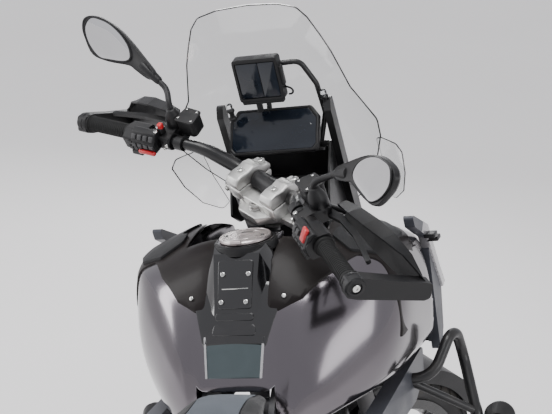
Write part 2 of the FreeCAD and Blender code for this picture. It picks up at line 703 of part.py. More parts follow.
def swingarm():
    """Single-sided arm with the shaft housing, bevel box and hollow axle, all on the left."""
    cross = tube_y(PIVOT_X - 70, PIVOT_Z - 2, -58, ARM_INNER_Y + 10, 34)
    arm = box_loft([
        (PIVOT_X + 26, ARM_INNER_Y, 150, 352, 440),
        (400, ARM_INNER_Y, 158, 342, 428),
        (200, ARM_INNER_Y, 160, 318, 392),
        (20, ARM_INNER_Y, 162, 282, 362),
    ], 14)
    drive = revolved([(ARM_INNER_Y, 20), (ARM_INNER_Y, DRIVE_R), (140, DRIVE_R + 4), (162, DRIVE_R - 12),
                      (DRIVE_OUTER_Y, 48), (DRIVE_OUTER_Y, 20)], REAR_AXLE)
    rod_top = rod(vec(40, 128, REAR_AXLE.z + 74), vec(PIVOT_X - 30, 128, PIVOT_Z + 82), 11)
    lug = rod(vec(10, 128, REAR_AXLE.z + 40), vec(40, 128, REAR_AXLE.z + 74), 16)
    lug2 = rod(vec(PIVOT_X - 30, 128, PIVOT_Z + 82), vec(PIVOT_X - 20, 128, PIVOT_Z + 20), 15)
    axle = tube_y(0, REAR_AXLE.z, -78, DRIVE_OUTER_Y - 4, REAR_AXLE_R)
    angle = math.radians(62)
    caliper_r = REAR_DISC_R - 18
    caliper = block(-42, 42, REAR_DISC_Y - 9, ARM_INNER_Y + 14, -24, 36)
    slot = block(-60, 60, REAR_DISC_Y - CLEAR, REAR_DISC_Y + DISC_THICK + CLEAR, -60, 18 + CLEAR + 2)
    caliper = caliper.cut(slot)
    caliper.Placement = FreeCAD.Placement(
        REAR_AXLE + vec(caliper_r * math.cos(angle), 0, caliper_r * math.sin(angle)),
        FreeCAD.Rotation(Y_AXIS, 90 - math.degrees(angle)))
    bracket = rod(vec(0, ARM_INNER_Y + 8, REAR_AXLE.z) + vec(math.cos(angle), 0, math.sin(angle)) * (DRIVE_R - 12),
                  vec(0, ARM_INNER_Y + 8, REAR_AXLE.z) + vec(math.cos(angle), 0, math.sin(angle)) * caliper_r, 7)
    arm_end = fuse([cross, arm, drive, rod_top, lug, lug2, axle, caliper, bracket])
    return arm_end.cut(tube_y(0, REAR_AXLE.z, -90, DRIVE_OUTER_Y + 10, REAR_AXLE_BORE_R))


def spring_leg(bottom, top, spring_r, coils):
    """A damper with its spring as one turned form: eyes, body, two seats and a row of coils between them."""
    length = (top - bottom).Length
    low = 0.18 * length
    high = 0.86 * length
    core_r = spring_r - 11
    step = (high - low) / coils
    edges = []
    points = [(0, 0), (spring_r - 14, 0), (spring_r - 14, low - 9), (spring_r, low - 9), (spring_r, low), (core_r, low)]
    for start, end in zip(points, points[1:]):
        edges.append(Part.makeLine(vec(start[0], 0, start[1]), vec(end[0], 0, end[1])))
    for i in range(coils):
        z0 = low + step * i
        z1 = z0 + step * 0.24
        z2 = z0 + step * 0.76
        z3 = z0 + step
        edges.append(Part.makeLine(vec(core_r, 0, z0), vec(core_r, 0, z1)))
        edges.append(Part.Arc(vec(core_r, 0, z1), vec(spring_r - 1, 0, (z1 + z2) / 2), vec(core_r, 0, z2)).toShape())
        edges.append(Part.makeLine(vec(core_r, 0, z2), vec(core_r, 0, z3)))
    points = [(core_r, high), (spring_r, high), (spring_r, high + 9), (spring_r - 16, high + 9), (spring_r - 16, length), (0, length), (0, 0)]
    for start, end in zip(points, points[1:]):
        edges.append(Part.makeLine(vec(start[0], 0, start[1]), vec(end[0], 0, end[1])))
    leg = Part.Face(Part.Wire(edges)).revolve(vec(0, 0, 0), Z_AXIS, 360)
    leg.Placement = FreeCAD.Placement(bottom, FreeCAD.Rotation(Z_AXIS, top - bottom))
    return leg


def suspension():
    """Front wishbone and front strut, and the rear strut."""
    hub_up = LOWER_YOKE_UP - 20
    hub = rod(fork_point(0, 0, hub_up - 26), fork_point(0, 0, hub_up + 14), 24)
    centre = fork_point(0, 0, hub_up - 6)
    arm = bent_tube([(1126, 92, 612), (1200, 84, 650), (centre.x - 6, 8, centre.z)], 14, 60)
    tie = rod(vec(1196, -82, 648), vec(1196, 82, 648), 12)
    wishbone = fuse([hub, arm, mirrored(arm), tie])
    wishbone = wishbone.cut(rod(fork_point(0, 0, hub_up - 60), fork_point(0, 0, hub_up + 40), BALL_R + RUNNING_GAP))
    front = spring_leg(vec(1196, 0, 650), vec(1128, 0, 926), 30, 7)
    rear = spring_leg(vec(PIVOT_X - 62, 0, PIVOT_Z + 36), vec(690, 0, 700), 38, 7)
    top_bolt = tube_y(690, 700, -FRAME_PLATE_Y, FRAME_PLATE_Y, 9)
    return Part.makeCompound([fuse([wishbone, front]), fuse([rear, top_bolt])])


# Engine

def engine_case():
    lower = side_plate(
        [(790, 300), (1090, 292), (1150, 330), (1164, 470), (1140, 570), (1080, 598), (850, 598), (780, 540)],
        -CASE_HALF, CASE_HALF, 34)
    upper = side_plate([(800, 560), (1110, 560), (1098, 628), (1040, 690), (880, 690), (810, 640)], -64, 64, 20)
    gearbox = side_plate([(640, 330), (800, 310), (800, 580), (720, 560), (650, 470)], -64, 64, 18)
    clutch = Part.makeCylinder(112, 60, vec(740, 0, 440), X_AXIS)
    nose = Part.makeCone(98, 84, 26, vec(1158, 0, CRANK_Z - 10), X_AXIS)
    ribs = []
    for i in range(5):
        z = 340 + 44 * i
        ribs.append(block(830, 1120, -CASE_HALF - 5, CASE_HALF + 5, z, z + 6))
    sump = side_plate([(800, 262), (1060, 262), (1090, 300), (790, 306)], -86, 86, 10)
    case = fuse([lower, upper, gearbox, clutch, nose, sump] + ribs)
    return case.cut(Part.makeCompound(header_pipes(HEADER_R + PIPE_CLEAR)))


def cylinder_centre(side):
    return CYLINDER_X + side * CYLINDER_STAGGER


def cylinder_section(side, half_x, low, high, y, radius=16.0):
    x = cylinder_centre(side)
    z = CRANK_Z
    return rounded_wire([vec(x - half_x, side * y, z - low), vec(x + half_x, side * y, z - low),
                         vec(x + half_x, side * y, z + high), vec(x - half_x, side * y, z + high)], radius)


def cylinders():
    """Finned barrels with their heads, and the intake tract of each."""
    solids = []
    for side in (1, -1):
        x = cylinder_centre(side)
        barrel = loft([cylinder_section(side, 56, 56, 56, CASE_HALF + 5.2), cylinder_section(side, 56, 56, 56, BARREL_END_Y)])
        fins = [
            loft([cylinder_section(side, 72, 66, 68, y), cylinder_section(side, 72, 66, 68, y + 5)])
            for y in range(int(CASE_HALF) + 18, int(BARREL_END_Y) - 6, 16)
        ]
        head = loft([
            cylinder_section(side, 80, 74, 72, BARREL_END_Y), cylinder_section(side, 96, 86, 84, BARREL_END_Y + 24),
            cylinder_section(side, 98, 88, 86, HEAD_END_Y),
        ])
        throttle = bent_tube([(x - 60, side * 262, CRANK_Z + 60), (x - 110, side * 240, CRANK_Z + 118),
                              (x - 150, side * 150, CRANK_Z + 180), (x - 168, side * 95, CRANK_Z + 186)], 24, 70)
        solids.append(fuse([barrel, head, throttle] + fins))
    return Part.makeCompound(solids)


def head_covers():
    solids = []
    for side in (1, -1):
        cover = loft([
            cylinder_section(side, 97, 86, 84, HEAD_END_Y, 26), cylinder_section(side, 95, 82, 82, COVER_END_Y - 24, 30),
            cylinder_section(side, 74, 60, 62, COVER_END_Y, 30),
        ])
        x = cylinder_centre(side)
        ribs = []
        for dx in (-48, -16, 16, 48):
            y0, y1 = sorted((side * (COVER_END_Y - 6), side * (COVER_END_Y + 5)))
            ribs.append(block(x + dx - 5, x + dx + 5, y0, y1, CRANK_Z - 52, CRANK_Z + 54))
        solids.append(fuse([cover] + ribs))
    return Part.makeCompound(solids)


def header_pipes(radius):
    """The two front pipes, from each head's lower face under the engine to the collector."""
    pipes = []
    for side in (1, -1):
        x = cylinder_centre(side)
        pipes.append(bent_tube([
            (x + 60, side * 276, CRANK_Z - 80), (x + 92, side * 262, CRANK_Z - 150), (x + 60, side * 180, CRANK_Z - 214),
            (940, side * 118, 243), (800, side * 60, 247), (716, side * 34, 262),
        ], radius, 55))
    return pipes


def exhaust_headers():
    collector = box_loft([(736, -72, 72, 230, 290), (700, -90, 90, 226, 300), (652, -90, 90, 226, 304), (624, -80, 60, 236, 298)], 20)
    link = bent_tube([(668, -70, 264), (632, -142, 278), (540, -190, 340), (446, -206, 386)], LINK_PIPE_R, 70)
    return fuse(header_pipes(HEADER_R) + [collector, link])


def silencer():
    """A six-sided can that rises along the right side of the wheel, with an end cap and outlet."""
    can = []
    # x, centre y, centre z, half width, half height
    for x, y, z, half_y, half_z in ((452, -204, 384, 30, 34), (400, -212, 402, 50, 62), (150, -222, 452, 52, 68), (-60, -232, 500, 50, 62)):
        can.append(rounded_wire([
            vec(x, y - half_y, z - half_z * 0.35), vec(x, y - half_y * 0.5, z - half_z), vec(x, y + half_y * 0.7, z - half_z),
            vec(x, y + half_y, z), vec(x, y + half_y * 0.6, z + half_z), vec(x, y - half_y * 0.6, z + half_z),
            vec(x, y - half_y, z + half_z * 0.5)], 12))
    body = loft(can)
    cap = loft([can[-1], rounded_wire([
        vec(-92, -232 - 38, 486), vec(-92, -232 - 18, 462), vec(-92, -232 + 26, 462), vec(-92, -232 + 36, 506),
        vec(-92, -232 + 22, 550), vec(-92, -232 - 22, 550), vec(-92, -232 - 38, 530)], 12)])
    outlet = Part.makeCylinder(24, 50, vec(-104, -232, 506), X_AXIS)
    bore = Part.makeCylinder(20, 60, vec(-106, -232, 506), X_AXIS)
    bracket = block(300, 350, -176, -112, 476, 492)
    hanger = rod(vec(325, -118, 484), vec(330, -108, 768), 10)
    return fuse([body, cap, outlet, bracket, hanger]).cut(bore)


def skid_plate():
    outer = side_plate([(660, 206), (1060, 206), (1190, 300), (1196, 372), (1180, 376), (1174, 308), (1054, 218), (660, 218)],
                       -118, 118, 5)
    rails = []
    for side in (1, -1):
        y0, y1 = sorted((side * 106, side * 118))
        rails.append(side_plate([(680, 214), (1056, 214), (1176, 304), (1180, 340), (1060, 262), (690, 244)], y0, y1, 6))
    slots = [block(760 + 70 * i, 800 + 70 * i, -60, 60, 200, 224) for i in range(4)]
    posts = [rod(vec(x, y, 212), vec(x, y, 262), 9) for x in (885, 1030) for y in (-20, 20)]
    plate = fuse([outer.cut(Part.makeCompound(slots))] + rails + posts)
    return plate.cut(Part.makeCompound(header_pipes(HEADER_R + PIPE_CLEAR)))


def radiators():
    solids = []
    for side in (1, -1):
        y0, y1 = sorted((side * 170, side * 268))
        core = block(1304, 1344, y0, y1, 800, 985)
        tank0, tank1 = sorted((side * 164, side * 274))
        caps = [block(1302, 1350, tank0, tank1, z, z + 18) for z in (784, 984)]
        fins = [block(1300, 1348, y0 + 2, y1 - 2, 808 + 12 * i, 811 + 12 * i) for i in range(15)]
        solids.append(fuse([core] + caps + fins))
    return Part.makeCompound(solids)


# Tank and bodywork. Rows: x, then (y, z) of the lower edge, the bulge, the shoulder, the crest and the centre
TANK_SECTIONS = (
    (802.0, (95, 775), (110, 800), (106, 832), (66, 880), 882),
    (828.0, (132, 777), (150, 846), (120, 914), (70, 938), 941),
    (850.0, (160, 778), (178, 850), (127, 958), (70, 985), 990),
    (900.0, (198, 780), (224, 870), (150, 1032), (78, 1058), 1064),
    (960.0, (232, 785), (274, 900), (215, 1068), (80, 1116), 1120),
    (1035.0, (262, 788), (302, 930), (297, 1066), (104, 1138), 1131),
    (1150.0, (284, 788), (304, 930), (294, 1080), (150, 1138), 1131),
    (1298.0, (290, 782), (302, 900), (282, 1036), (186, 1082), 1080),
)


def tank_master():
    """The whole outer form of the tank with its covers on, before anything is cut from it."""
    wires = []
    for x, low, bulge, shoulder, crest, top in TANK_SECTIONS:
        left = [vec(x, y, z) for y, z in (low, bulge, shoulder, crest)]
        right = [vec(x, -y, z) for y, z in (low, bulge, shoulder, crest)]
        peak = vec(x, 0, top)
        wires.append(Part.Wire([
            Part.makeLine(right[0], left[0]),
            Part.Arc(left[0], left[1], left[2]).toShape(),
            Part.makeLine(left[2], left[3]),
            Part.makeLine(left[3], peak),
            Part.makeLine(peak, right[3]),
            Part.makeLine(right[3], right[2]),
            Part.Arc(right[2], right[1], right[0]).toShape(),
        ]))
    return loft(wires, True)


def steering_room():
    """The space that the fork legs, the top bridge and the head tube take as the bars turn, in front of the tank."""
    reach = SWEEP_R + SLIDER_R + 2 * CLEAR
    slant = [(1004, 1150), (1004, 1400), (1420, 1400), (1420, 600), (1042, 600), (1042, 1010)]
    legs = both(side_plate(slant, 58, reach))
    head = block(1052, 1420, -60, 60, 600, 1400)
    return legs.Solids + [head]


COVER_OUTLINE = (
    (852, 80), (900, 138), (956, 190), (1014, 220), (1024, 296), (1180, 296), (1250, 250), (1200, 176),
    (1120, 150), (1062, 108), (1010, 80), (940, 76),
)
PANEL_OUTLINE = ((838, 62), (862, 78), (935, 73), (968, 73), (968, -73), (935, -73), (862, -78), (838, -62))

# Centre panel that stands out of the tank between the covers: the side view (x, z) of its top face and of its
# two lower edges, and the half width of each
PANEL_TOP_LINE = ((836, 946), (842, 972), (858, 996), (874, 1034), (922, 1124), (948, 1135), (960, 1135))
PANEL_EDGE_LINE = ((836, 934), (844, 950), (862, 982), (880, 1012), (922, 1066), (950, 1092), (960, 1096))
PANEL_TOP_HALF = (46, 56, 46, 44, 50, 56, 58)
PANEL_EDGE_HALF = (56, 70, 76, 76, 76, 72, 72)
PANEL_STEP = 5.0
PANEL_ROOT = 30.0
_cache = {}


def panel_trunk():
    """The centre panel: a sloping top face with flared side walls, down into the tank, with two low steps on it."""
    sections = []
    for (x, z), half, (low_x, low_z), low_half in zip(
            PANEL_TOP_LINE, PANEL_TOP_HALF, PANEL_EDGE_LINE, PANEL_EDGE_HALF):
        top = vec(x, 0, z)
        low = vec(low_x, 0, low_z)
        root = low + (low - top).normalize() * PANEL_ROOT
        sections.append(Part.makePolygon([
            low - Y_AXIS * low_half, top - Y_AXIS * half, top + Y_AXIS * half, low + Y_AXIS * low_half,
            root + Y_AXIS * low_half, root - Y_AXIS * low_half, low - Y_AXIS * low_half,
        ]))
    trunk = loft(sections, True)
    slope = (vec(922, 0, 1124) - vec(874, 0, 1034)).normalize()
    out = vec(-slope.z, 0, slope.x)
    low = vec(874, 0, 1034) + slope * 6
    high = vec(922, 0, 1124) - slope * 8
    raised = prism([low + Y_AXIS * 36, low - Y_AXIS * 36, high - Y_AXIS * 38, high + Y_AXIS * 38], out * PANEL_STEP, 6)
    return trunk.fuse(raised)


def tank_pieces():
    """The tank, its covers and its centre panel, split where the real panels meet."""
    if _cache:
        return _cache
    master = tank_master()
    room = steering_room()
    tunnel = side_plate([(780, 700), (780, 846), (880, 968), (1060, 1000), (1060, 700)], -TUNNEL_HALF, TUNNEL_HALF)
    lowered = master.copy()
    lowered.translate(vec(0, 0, -COVER_THICK))
    left = plan_plate(COVER_OUTLINE, 900, 1300, 10)
    right = mirrored(left)
    centre = plan_plate(PANEL_OUTLINE, 900, 1300, 8)
    well = Part.makeCylinder(CAP_RING_R + 1, 200, vec(CAP_X, 0, 1000), Z_AXIS)
    solids = {}
    for name, outline in (("left", left), ("right", right), ("centre", centre.cut(left).cut(right))):
        solids[name] = master.common(outline).cut([lowered] + room)
    trunk = panel_trunk().cut([solids["left"], solids["right"]] + room)
    solids["centre"] = trunk.cut([lowered, well])
    body = master.cut([solids[name] for name in ("left", "right", "centre")] + room + [tunnel])
    ring = Part.makeCylinder(CAP_RING_R, 60, vec(CAP_X, 0, CAP_RING_TOP - 60), Z_AXIS)
    neck = Part.makeCylinder(36, 45, vec(CAP_X, 0, CAP_RING_TOP - 44), Z_AXIS)
    body = body.fuse(ring).cut(neck)
    _cache.update(solids)
    _cache["tank"] = body
    return _cache


def largest(shape):
    return max(shape.Solids, key=lambda s: s.Volume)


def fuel_tank():
    return largest(tank_pieces()["tank"])


def tank_covers():
    pieces = tank_pieces()
    return Part.makeCompound([largest(pieces[name]) for name in ("left", "right", "centre")])


def tank_pads():
    """Raised rubber pads on the shoulders of the covers."""
    outline = ((1034, 268), (1012, 212), (1040, 168), (1080, 172), (1104, 196), (1160, 178), (1205, 190), (1218, 236), (1170, 280), (1070, 284))
    master = tank_master()
    raised = master.copy()
    raised.translate(vec(0, 0, 7))
    pad = raised.common(plan_plate(outline, 900, 1300, 12)).cut(master)
    return both(largest(pad.cut(steering_room())))


def fuel_cap():
    """The lid, hinged at its rear edge, with its knuckle and the sunk key flap."""
    seat = CAP_RING_TOP + 0.3
    lid = Part.makeCylinder(CAP_R, CAP_THICK, vec(CAP_X, 0, seat), Z_AXIS)
    knuckle = tube_y(CAP_HINGE[0], CAP_HINGE[1], -12, 12, 4)
    link = block(CAP_HINGE[0], CAP_X - CAP_R + 6, -12, 12, seat + 1, seat + CAP_THICK - 1)
    latch = block(CAP_X + 6, CAP_X + 20, -13, 13, seat + CAP_THICK - 3, seat + CAP_THICK + 1)
    return fuse([lid, knuckle, link]).cut(latch)


def seat_section(x, half, low, high, crown):
    """A cushion section: flat base, upright sides and a crowned top."""
    return Part.Wire([
        Part.makeLine(vec(x, -half * 0.86, low), vec(x, half * 0.86, low)),
        Part.makeLine(vec(x, half * 0.86, low), vec(x, half, (low + high) / 2)),
        Part.Arc(vec(x, half, (low + high) / 2), vec(x, half * 0.93, high - crown - 4), vec(x, half * 0.72, high - crown * 0.5)).toShape(),
        Part.Arc(vec(x, half * 0.72, high - crown * 0.5), vec(x, 0, high), vec(x, -half * 0.72, high - crown * 0.5)).toShape(),
        Part.Arc(vec(x, -half * 0.72, high - crown * 0.5), vec(x, -half * 0.93, high - crown - 4), vec(x, -half, (low + high) / 2)).toShape(),
        Part.makeLine(vec(x, -half, (low + high) / 2), vec(x, -half * 0.86, low)),
    ])


# x, half width, base height, top height, crown
RIDER_SEAT = ((799, 74, 856, 881, 4), (740, 90, 842, 886, 6), (640, 122, 834, 876, 8), (520, 164, 834, 876, 10), (430, 168, 838, 898, 12), (398, 160, 842, 930, 14))
PASSENGER_SEAT = ((392, 146, 848, 946, 12), (250, 154, 864, 962, 14), (90, 132, 894, 968, 12), (24, 104, 908, 952, 10))


def seat_rider():
    return loft([seat_section(*row) for row in RIDER_SEAT])


def seat_passenger():
    return loft([seat_section(*row) for row in PASSENGER_SEAT])


def side_panels():
    """Front shrouds beside the radiators, each with its bright strip, and the lower covers under the tank."""
    shroud = side_plate([(1300, 1030), (1338, 960), (1376, 892), (1352, 800), (1318, 762), (1300, 764)], 280, 300, 8)
    strip = side_plate([(1176, 1116), (1300, 1058), (1356, 956), (1394, 896), (1370, 890), (1334, 948), (1284, 1034), (1186, 1086)],
                       283, 305, 6)
    inner = side_plate([(1299.5, 1030), (1330, 960), (1330, 790), (1299.5, 780)], 274, 282, 4)
    lower = side_plate([(880, 776), (1290, 778), (1270, 716), (1180, 690), (1010, 700), (930, 740)], 226, 262, 10)
    fins = [block(1290 - 26 * i, 1318 - 26 * i, 300, 326, 1022 + 15 * i, 1030 + 15 * i) for i in range(2)]
    upper = fuse([shroud, strip, inner] + fins)
    return Part.makeCompound([upper, mirrored(upper), lower, mirrored(lower)])


def beak():
    sections = []
    # x, half width, edge height, ridge height, thickness
    for x, half, edge, ridge, thick in ((1392, 150, 868, 902, 12), (1480, 128, 862, 892, 10), (1590, 96, 842, 868, 9), (1680, 60, 822, 840, 8), (1712, 34, 812, 824, 6)):
        sections.append(rounded_wire([
            vec(x, half, edge), vec(x, half * 0.4, ridge), vec(x, -half * 0.4, ridge), vec(x, -half, edge),
            vec(x, -half + thick, edge - thick * 0.7), vec(x, -half * 0.36, ridge - thick), vec(x, half * 0.36, ridge - thick),
            vec(x, half - thick, edge - thick * 0.7)], 1.5))
    stay = block(1376, 1400, -40, 40, 874, 940)
    return fuse([loft(sections), stay])


def headlight():
    """The main lamp block with its lens, under the screen, and its four-armed reflector recess."""
    shell = box_loft([(1352, -84, 84, 936, 1052), (1392, -104, 104, 918, 1064), (1428, -96, 96, 922, 1052)], 18)
    lens = box_loft([(1424, -92, 92, 926, 1048), (1440, -80, 80, 938, 1036)], 16)
    bezel = []
    for slope in (1, -1):
        arm = side_plate([(0, -8), (10, -8), (10, 8), (0, 8)], -104, 104, 3)
        arm.Placement = FreeCAD.Placement(vec(1434, 0, 987), FreeCAD.Rotation(X_AXIS, slope * 33))
        bezel.append(arm)
    frame_box = box_loft([(1420, -100, 100, 918, 1056), (1446, -88, 88, 930, 1044)], 18)
    return fuse([shell, lens] + [b.common(frame_box) for b in bezel])


def aux_lights():
    place = vec(*AUX_LAMP)
    body = Part.makeCone(24, 36, 34, place, X_AXIS)
    lens = Part.makeCylinder(33, 12, place + X_AXIS * 34, X_AXIS)
    return both(fuse([body, lens]))


def headlamps():
    return Part.makeCompound([headlight(), aux_lights()])


# Half outline of the screen seen from the front, as (y, z), from the top centre to the lower edge
SCREEN_OUTLINE = (
    (0, 1592), (70, 1588), (112, 1577), (132, 1553), (150, 1514), (166, 1474), (189, 1389), (238, 1314),
    (234, 1272), (206, 1214), (162, 1150), (120, 1100), (0, 1092),
)
DEFLECTOR_OUTLINE = ((212, 1264), (262, 1250), (274, 1230), (266, 1176), (246, 1124), (214, 1096), (196, 1112), (208, 1190))


def screen_sheet(offset=0.0):
    """An upright curved sheet, leaned back so that its centre line passes the screen's top."""
    outer_r = SCREEN_CURVE_R
    sheet = Part.makeCylinder(outer_r, 800, vec(-outer_r, 0, -680), Z_AXIS)
    sheet = sheet.cut(Part.makeCylinder(outer_r - SCREEN_THICK, 820, vec(-outer_r, 0, -690), Z_AXIS))
    sheet.Placement = FreeCAD.Placement(
        vec(SCREEN_TOP_X + offset, 0, SCREEN_TOP_Z), FreeCAD.Rotation(Y_AXIS, -SCREEN_LEAN_DEG))
    return sheet.common(block(1000, 1500, -400, 400, 1000, 1650))


def windscreen():
    half = list(SCREEN_OUTLINE)
    whole = half + [(-y, z) for y, z in reversed(half[1:-1])]
    cutter = prism([vec(1000, y, z) for y, z in whole], vec(600, 0, 0), 22)
    main = largest(screen_sheet().common(cutter))
    side_cutter = prism([vec(1000, y, z) for y, z in DEFLECTOR_OUTLINE], vec(600, 0, 0), 10)
    deflector = largest(screen_sheet(26).common(side_cutter))
    return Part.makeCompound([main, deflector, mirrored(deflector)])


# The display's face: lower and upper edge heights and places, and its half widths
DISPLAY_LOW = vec(1217, 0, 1262)
DISPLAY_HIGH = vec(1265, 0, 1353)
DISPLAY_THICK = 18.0


# The navigation unit: the middle of its face, its half width and half height, and how far its top leans back
NAV_FACE = vec(1196, 3, 1427)
NAV_HALF_WIDTH = 52.0
NAV_HALF_HEIGHT = 50.0
NAV_THICK = 30.0
NAV_LEAN_DEG = 14.0


def nav_placed(shape):
    """Puts a shape built behind an upright face at the origin in the navigation unit's place."""
    shape.Placement = FreeCAD.Placement(NAV_FACE, FreeCAD.Rotation(Y_AXIS, -NAV_LEAN_DEG)).multiply(shape.Placement)
    return shape


def instruments():
    """The wide colour display, and the boxed navigation unit above it."""
    slope = (DISPLAY_HIGH - DISPLAY_LOW).Length
    up = (DISPLAY_HIGH - DISPLAY_LOW).normalize()
    ahead = vec(up.z, 0, -up.x)
    outline = [(-96, 0), (-104, 10), (-104, slope - 24), (-86, slope), (86, slope), (104, slope - 24), (104, 10), (96, 0)]
    face = [DISPLAY_LOW + Y_AXIS * y + up * t for y, t in outline]
    screen = prism(face, ahead * DISPLAY_THICK, 6)
    w = NAV_HALF_WIDTH
    h = NAV_HALF_HEIGHT
    bezel = rounded_wire([vec(0, -w, -h), vec(0, w, -h), vec(0, w, h), vec(0, -w, h)], 8)
    unit = Part.Face(bezel).extrude(vec(NAV_THICK, 0, 0))
    window = block(-1, 3, 9 - w, w - 9, 10 - h, h - 9)
    return Part.makeCompound([screen, nav_placed(unit.cut(window))])


# Side view (x, z) of the shell behind the steering head, and of the panel that closes each side of it
PAN_LINE = ((1350, 1092), (1322, 1172), (1296, 1262))
PAN_SIDE_OUTLINE = (
    (1203, 1126), (1250, 1100), (1346, 1092), (1348, 1112), (1326, 1196), (1300, 1268), (1272, 1268), (1240, 1216),
    (1214, 1160),
)
PAN_HALF = 117.0


def cockpit_pan():
    """The dark shell between tank and display: a back wall and a panel on each side of the steering head."""
    line = [vec(x, 0, z) for x, z in PAN_LINE]
    thick = vec(4, 0, 1.6)
    wall = prism([p - Y_AXIS * PAN_HALF for p in line + [q + thick for q in reversed(line)]], Y_AXIS * 2 * PAN_HALF)
    side = side_plate(PAN_SIDE_OUTLINE, PAN_HALF - 4, PAN_HALF + 1, 6)
    dash = plan_plate([(1262, -104), (1300, -112), (1300, 112), (1262, 104)], 1250, 1256, 6)
    return fuse([wall, side, mirrored(side), dash])


def cockpit_bracket():
    """The carrier behind the display: side arms up to the screen, cross tubes and the navigator's bent tube."""
    arm_outline = [(1256, 1366), (1272, 1370), (1330, 1200), (1372, 1110), (1384, 1076), (1348, 1070), (1330, 1110), (1296, 1200), (1250, 1340)]
    arm = side_plate(arm_outline, 118, 134, 8)
    cross = [rod(vec(x, -120, z), vec(x, 120, z), 9) for x, z in ((1290, 1258), (1318, 1180), (1350, 1086))]
    stay = side_plate([(1338, 960), (1338, 1090), (1351, 1090), (1351, 960)], -60, 60, 4)
    hoop = bent_tube([(1290, -88, 1258), (1284, -110, 1330), (1256, -108, 1400), (1234, -84, 1456), (1222, -20, 1456), (1222, 20, 1456)], 6, 24)
    post = rod(vec(1290, 30, 1258), vec(1306, 24, 1372), 6)
    post_top = rod(vec(1306, 24, 1372), vec(1222, 6, 1432), 6)
    pad = nav_placed(block(NAV_THICK, NAV_THICK + 12, -34, 34, -22, 34))
    display_pad = rod(vec(1290, 0, 1258), (DISPLAY_LOW + DISPLAY_HIGH) * 0.5 + vec(14, 0, -8), 16)
    return fuse([arm, mirrored(arm), stay, hoop, post, post_top, pad, display_pad, cockpit_pan()] + cross)


def crash_bars():
    """Welded tubes that leave the frame under the tank, run outside the shroud and down in front of each cylinder."""
    upper = bent_tube([
        (1140, 84, 744), (1184, 304, 744), (1262, 346, 838), (1306, 348, 752), (1236, 380, 640),
        (1176, 396, 470), (1186, 300, 340), (1166, 122, 288),
    ], TUBE_R, 60)
    lower = bent_tube([(1192, 392, 515), (1020, 414, 500), (878, 412, 472), (834, 300, 384), (878, 118, 318)], TUBE_R, 70)
    brace = rod(vec(1236, 380, 640), vec(1172, 246, 744), 9)
    lamp_lug = rod(vec(1220, 386, 600), vec(AUX_LAMP[0] + 14, AUX_LAMP[1], AUX_LAMP[2]), 8)
    return both(fuse([upper, lower, brace, lamp_lug]))


def footrests():
    """Rider's and passenger's pegs with their hangers, the gear lever and the brake pedal."""
    inner = FRAME_PLATE_Y + FRAME_PLATE_THICK
    hanger = side_plate([(600, 300), (660, 320), (680, 420), (640, 470), (596, 420)], inner, inner + 10, 12)
    peg = block(618, 662, inner + 8, 232, 328, 340)
    teeth = [block(618, 662, 118 + 16 * i, 124 + 16 * i, 338, 350) for i in range(7)]
    rider = fuse([hanger, peg] + teeth)
    rear_hanger = side_plate([(430, 700), (470, 690), (380, 500), (340, 500)], 110, 122, 10)
    rear_peg = tube_y(362, 516, 112, 216, 13)
    passenger = fuse([rear_hanger, rear_peg])
    lever = bent_tube([(676, inner + 6, 372), (676, 112, 372), (740, 132, 352), (808, 136, 346)], 6, 20)
    toe = tube_y(808, 346, 128, 176, 9)
    pedal = bent_tube([(676, -inner - 6, 372), (676, -112, 372), (740, -132, 344), (812, -134, 336)], 7, 20)
    pad = block(790, 836, -172, -126, 332, 344)
    return Part.makeCompound([
        fuse([rider, lever, toe]), fuse([mirrored(rider), pedal, pad]), passenger, mirrored(passenger)])


def rack_holes():
    return [vec(RACK_X + dx * RACK_BOLT_HALF, dy * RACK_BOLT_HALF, RACK_TOP_Z) for dx in (-1, 1) for dy in (-1, 1)]


def luggage_rack():
    """A pierced carrier plate, two grab rails and the posts down to the rear frame."""
    plate = plan_plate([(60, 96), (60, -96), (-120, -112), (-226, -84), (-226, 84), (-120, 112)], RACK_TOP_Z - RACK_THICK, RACK_TOP_Z, 22)
    windows = [plan_plate([(x, -34), (x, 34), (x - 38, 34), (x - 38, -34)], 900, 1100, 8) for x in (30, -56, -110, -168)]
    holes = [Part.makeCylinder(RACK_BOLT_R, 40, point - Z_AXIS * 20, Z_AXIS) for point in rack_holes()]
    plate = plate.cut(Part.makeCompound(windows + holes))
    rail = bent_tube([(330, 122, 810), (330, 184, 836), (320, 190, 910), (230, 190, 976), (20, 160, 990), (-60, 108, 988)], 11, 40)
    post = rod(vec(-50, 96, 884), vec(-50, 96, RACK_TOP_Z - 3), 9)
    front_post = rod(vec(6, 96, 872), vec(6, 96, RACK_TOP_Z - 3), 8)
    lug = rod(vec(330, 106, 812), vec(330, 128, 811), 12)
    side = fuse([rail, post, front_post, lug])
    return fuse([plate, side, mirrored(side)])


def tail_unit():
    """The tail lamp, the long plate carrier with its blank plate, and the rear turn lamps."""
    box = box_loft([(10, -84, 84, 880, 905), (-60, -70, 70, 872, 912), (-118, -50, 50, 880, 910)], 10)
    lamp = box_loft([(-118, -48, 48, 882, 908), (-132, -42, 42, 884, 906)], 8)
    arm = side_plate([(-40, 878), (-96, 878), (-300, 700), (-356, 640), (-340, 616), (-278, 664), (-60, 850)], -34, 34, 8)
    plate = side_plate([(-392, 706), (-344, 520), (-338, 522), (-386, 708)], -95, 95, 1)
    carrier = side_plate([(-388, 700), (-350, 560), (-338, 562), (-376, 702)], -40, 40, 2)
    stalk = rod(vec(-318, -140, 676), vec(-318, 140, 676), 7)
    lamps = [box_loft([(-338, y - 22, y + 22, 664, 688), (-306, y - 18, y + 18, 666, 686)], 8) for y in (-150, 150)]
    return fuse([box, lamp, arm, plate, carrier, stalk] + lamps)


# Stands. The parked pose is worked out first, because the side stand reaches the leaned ground.

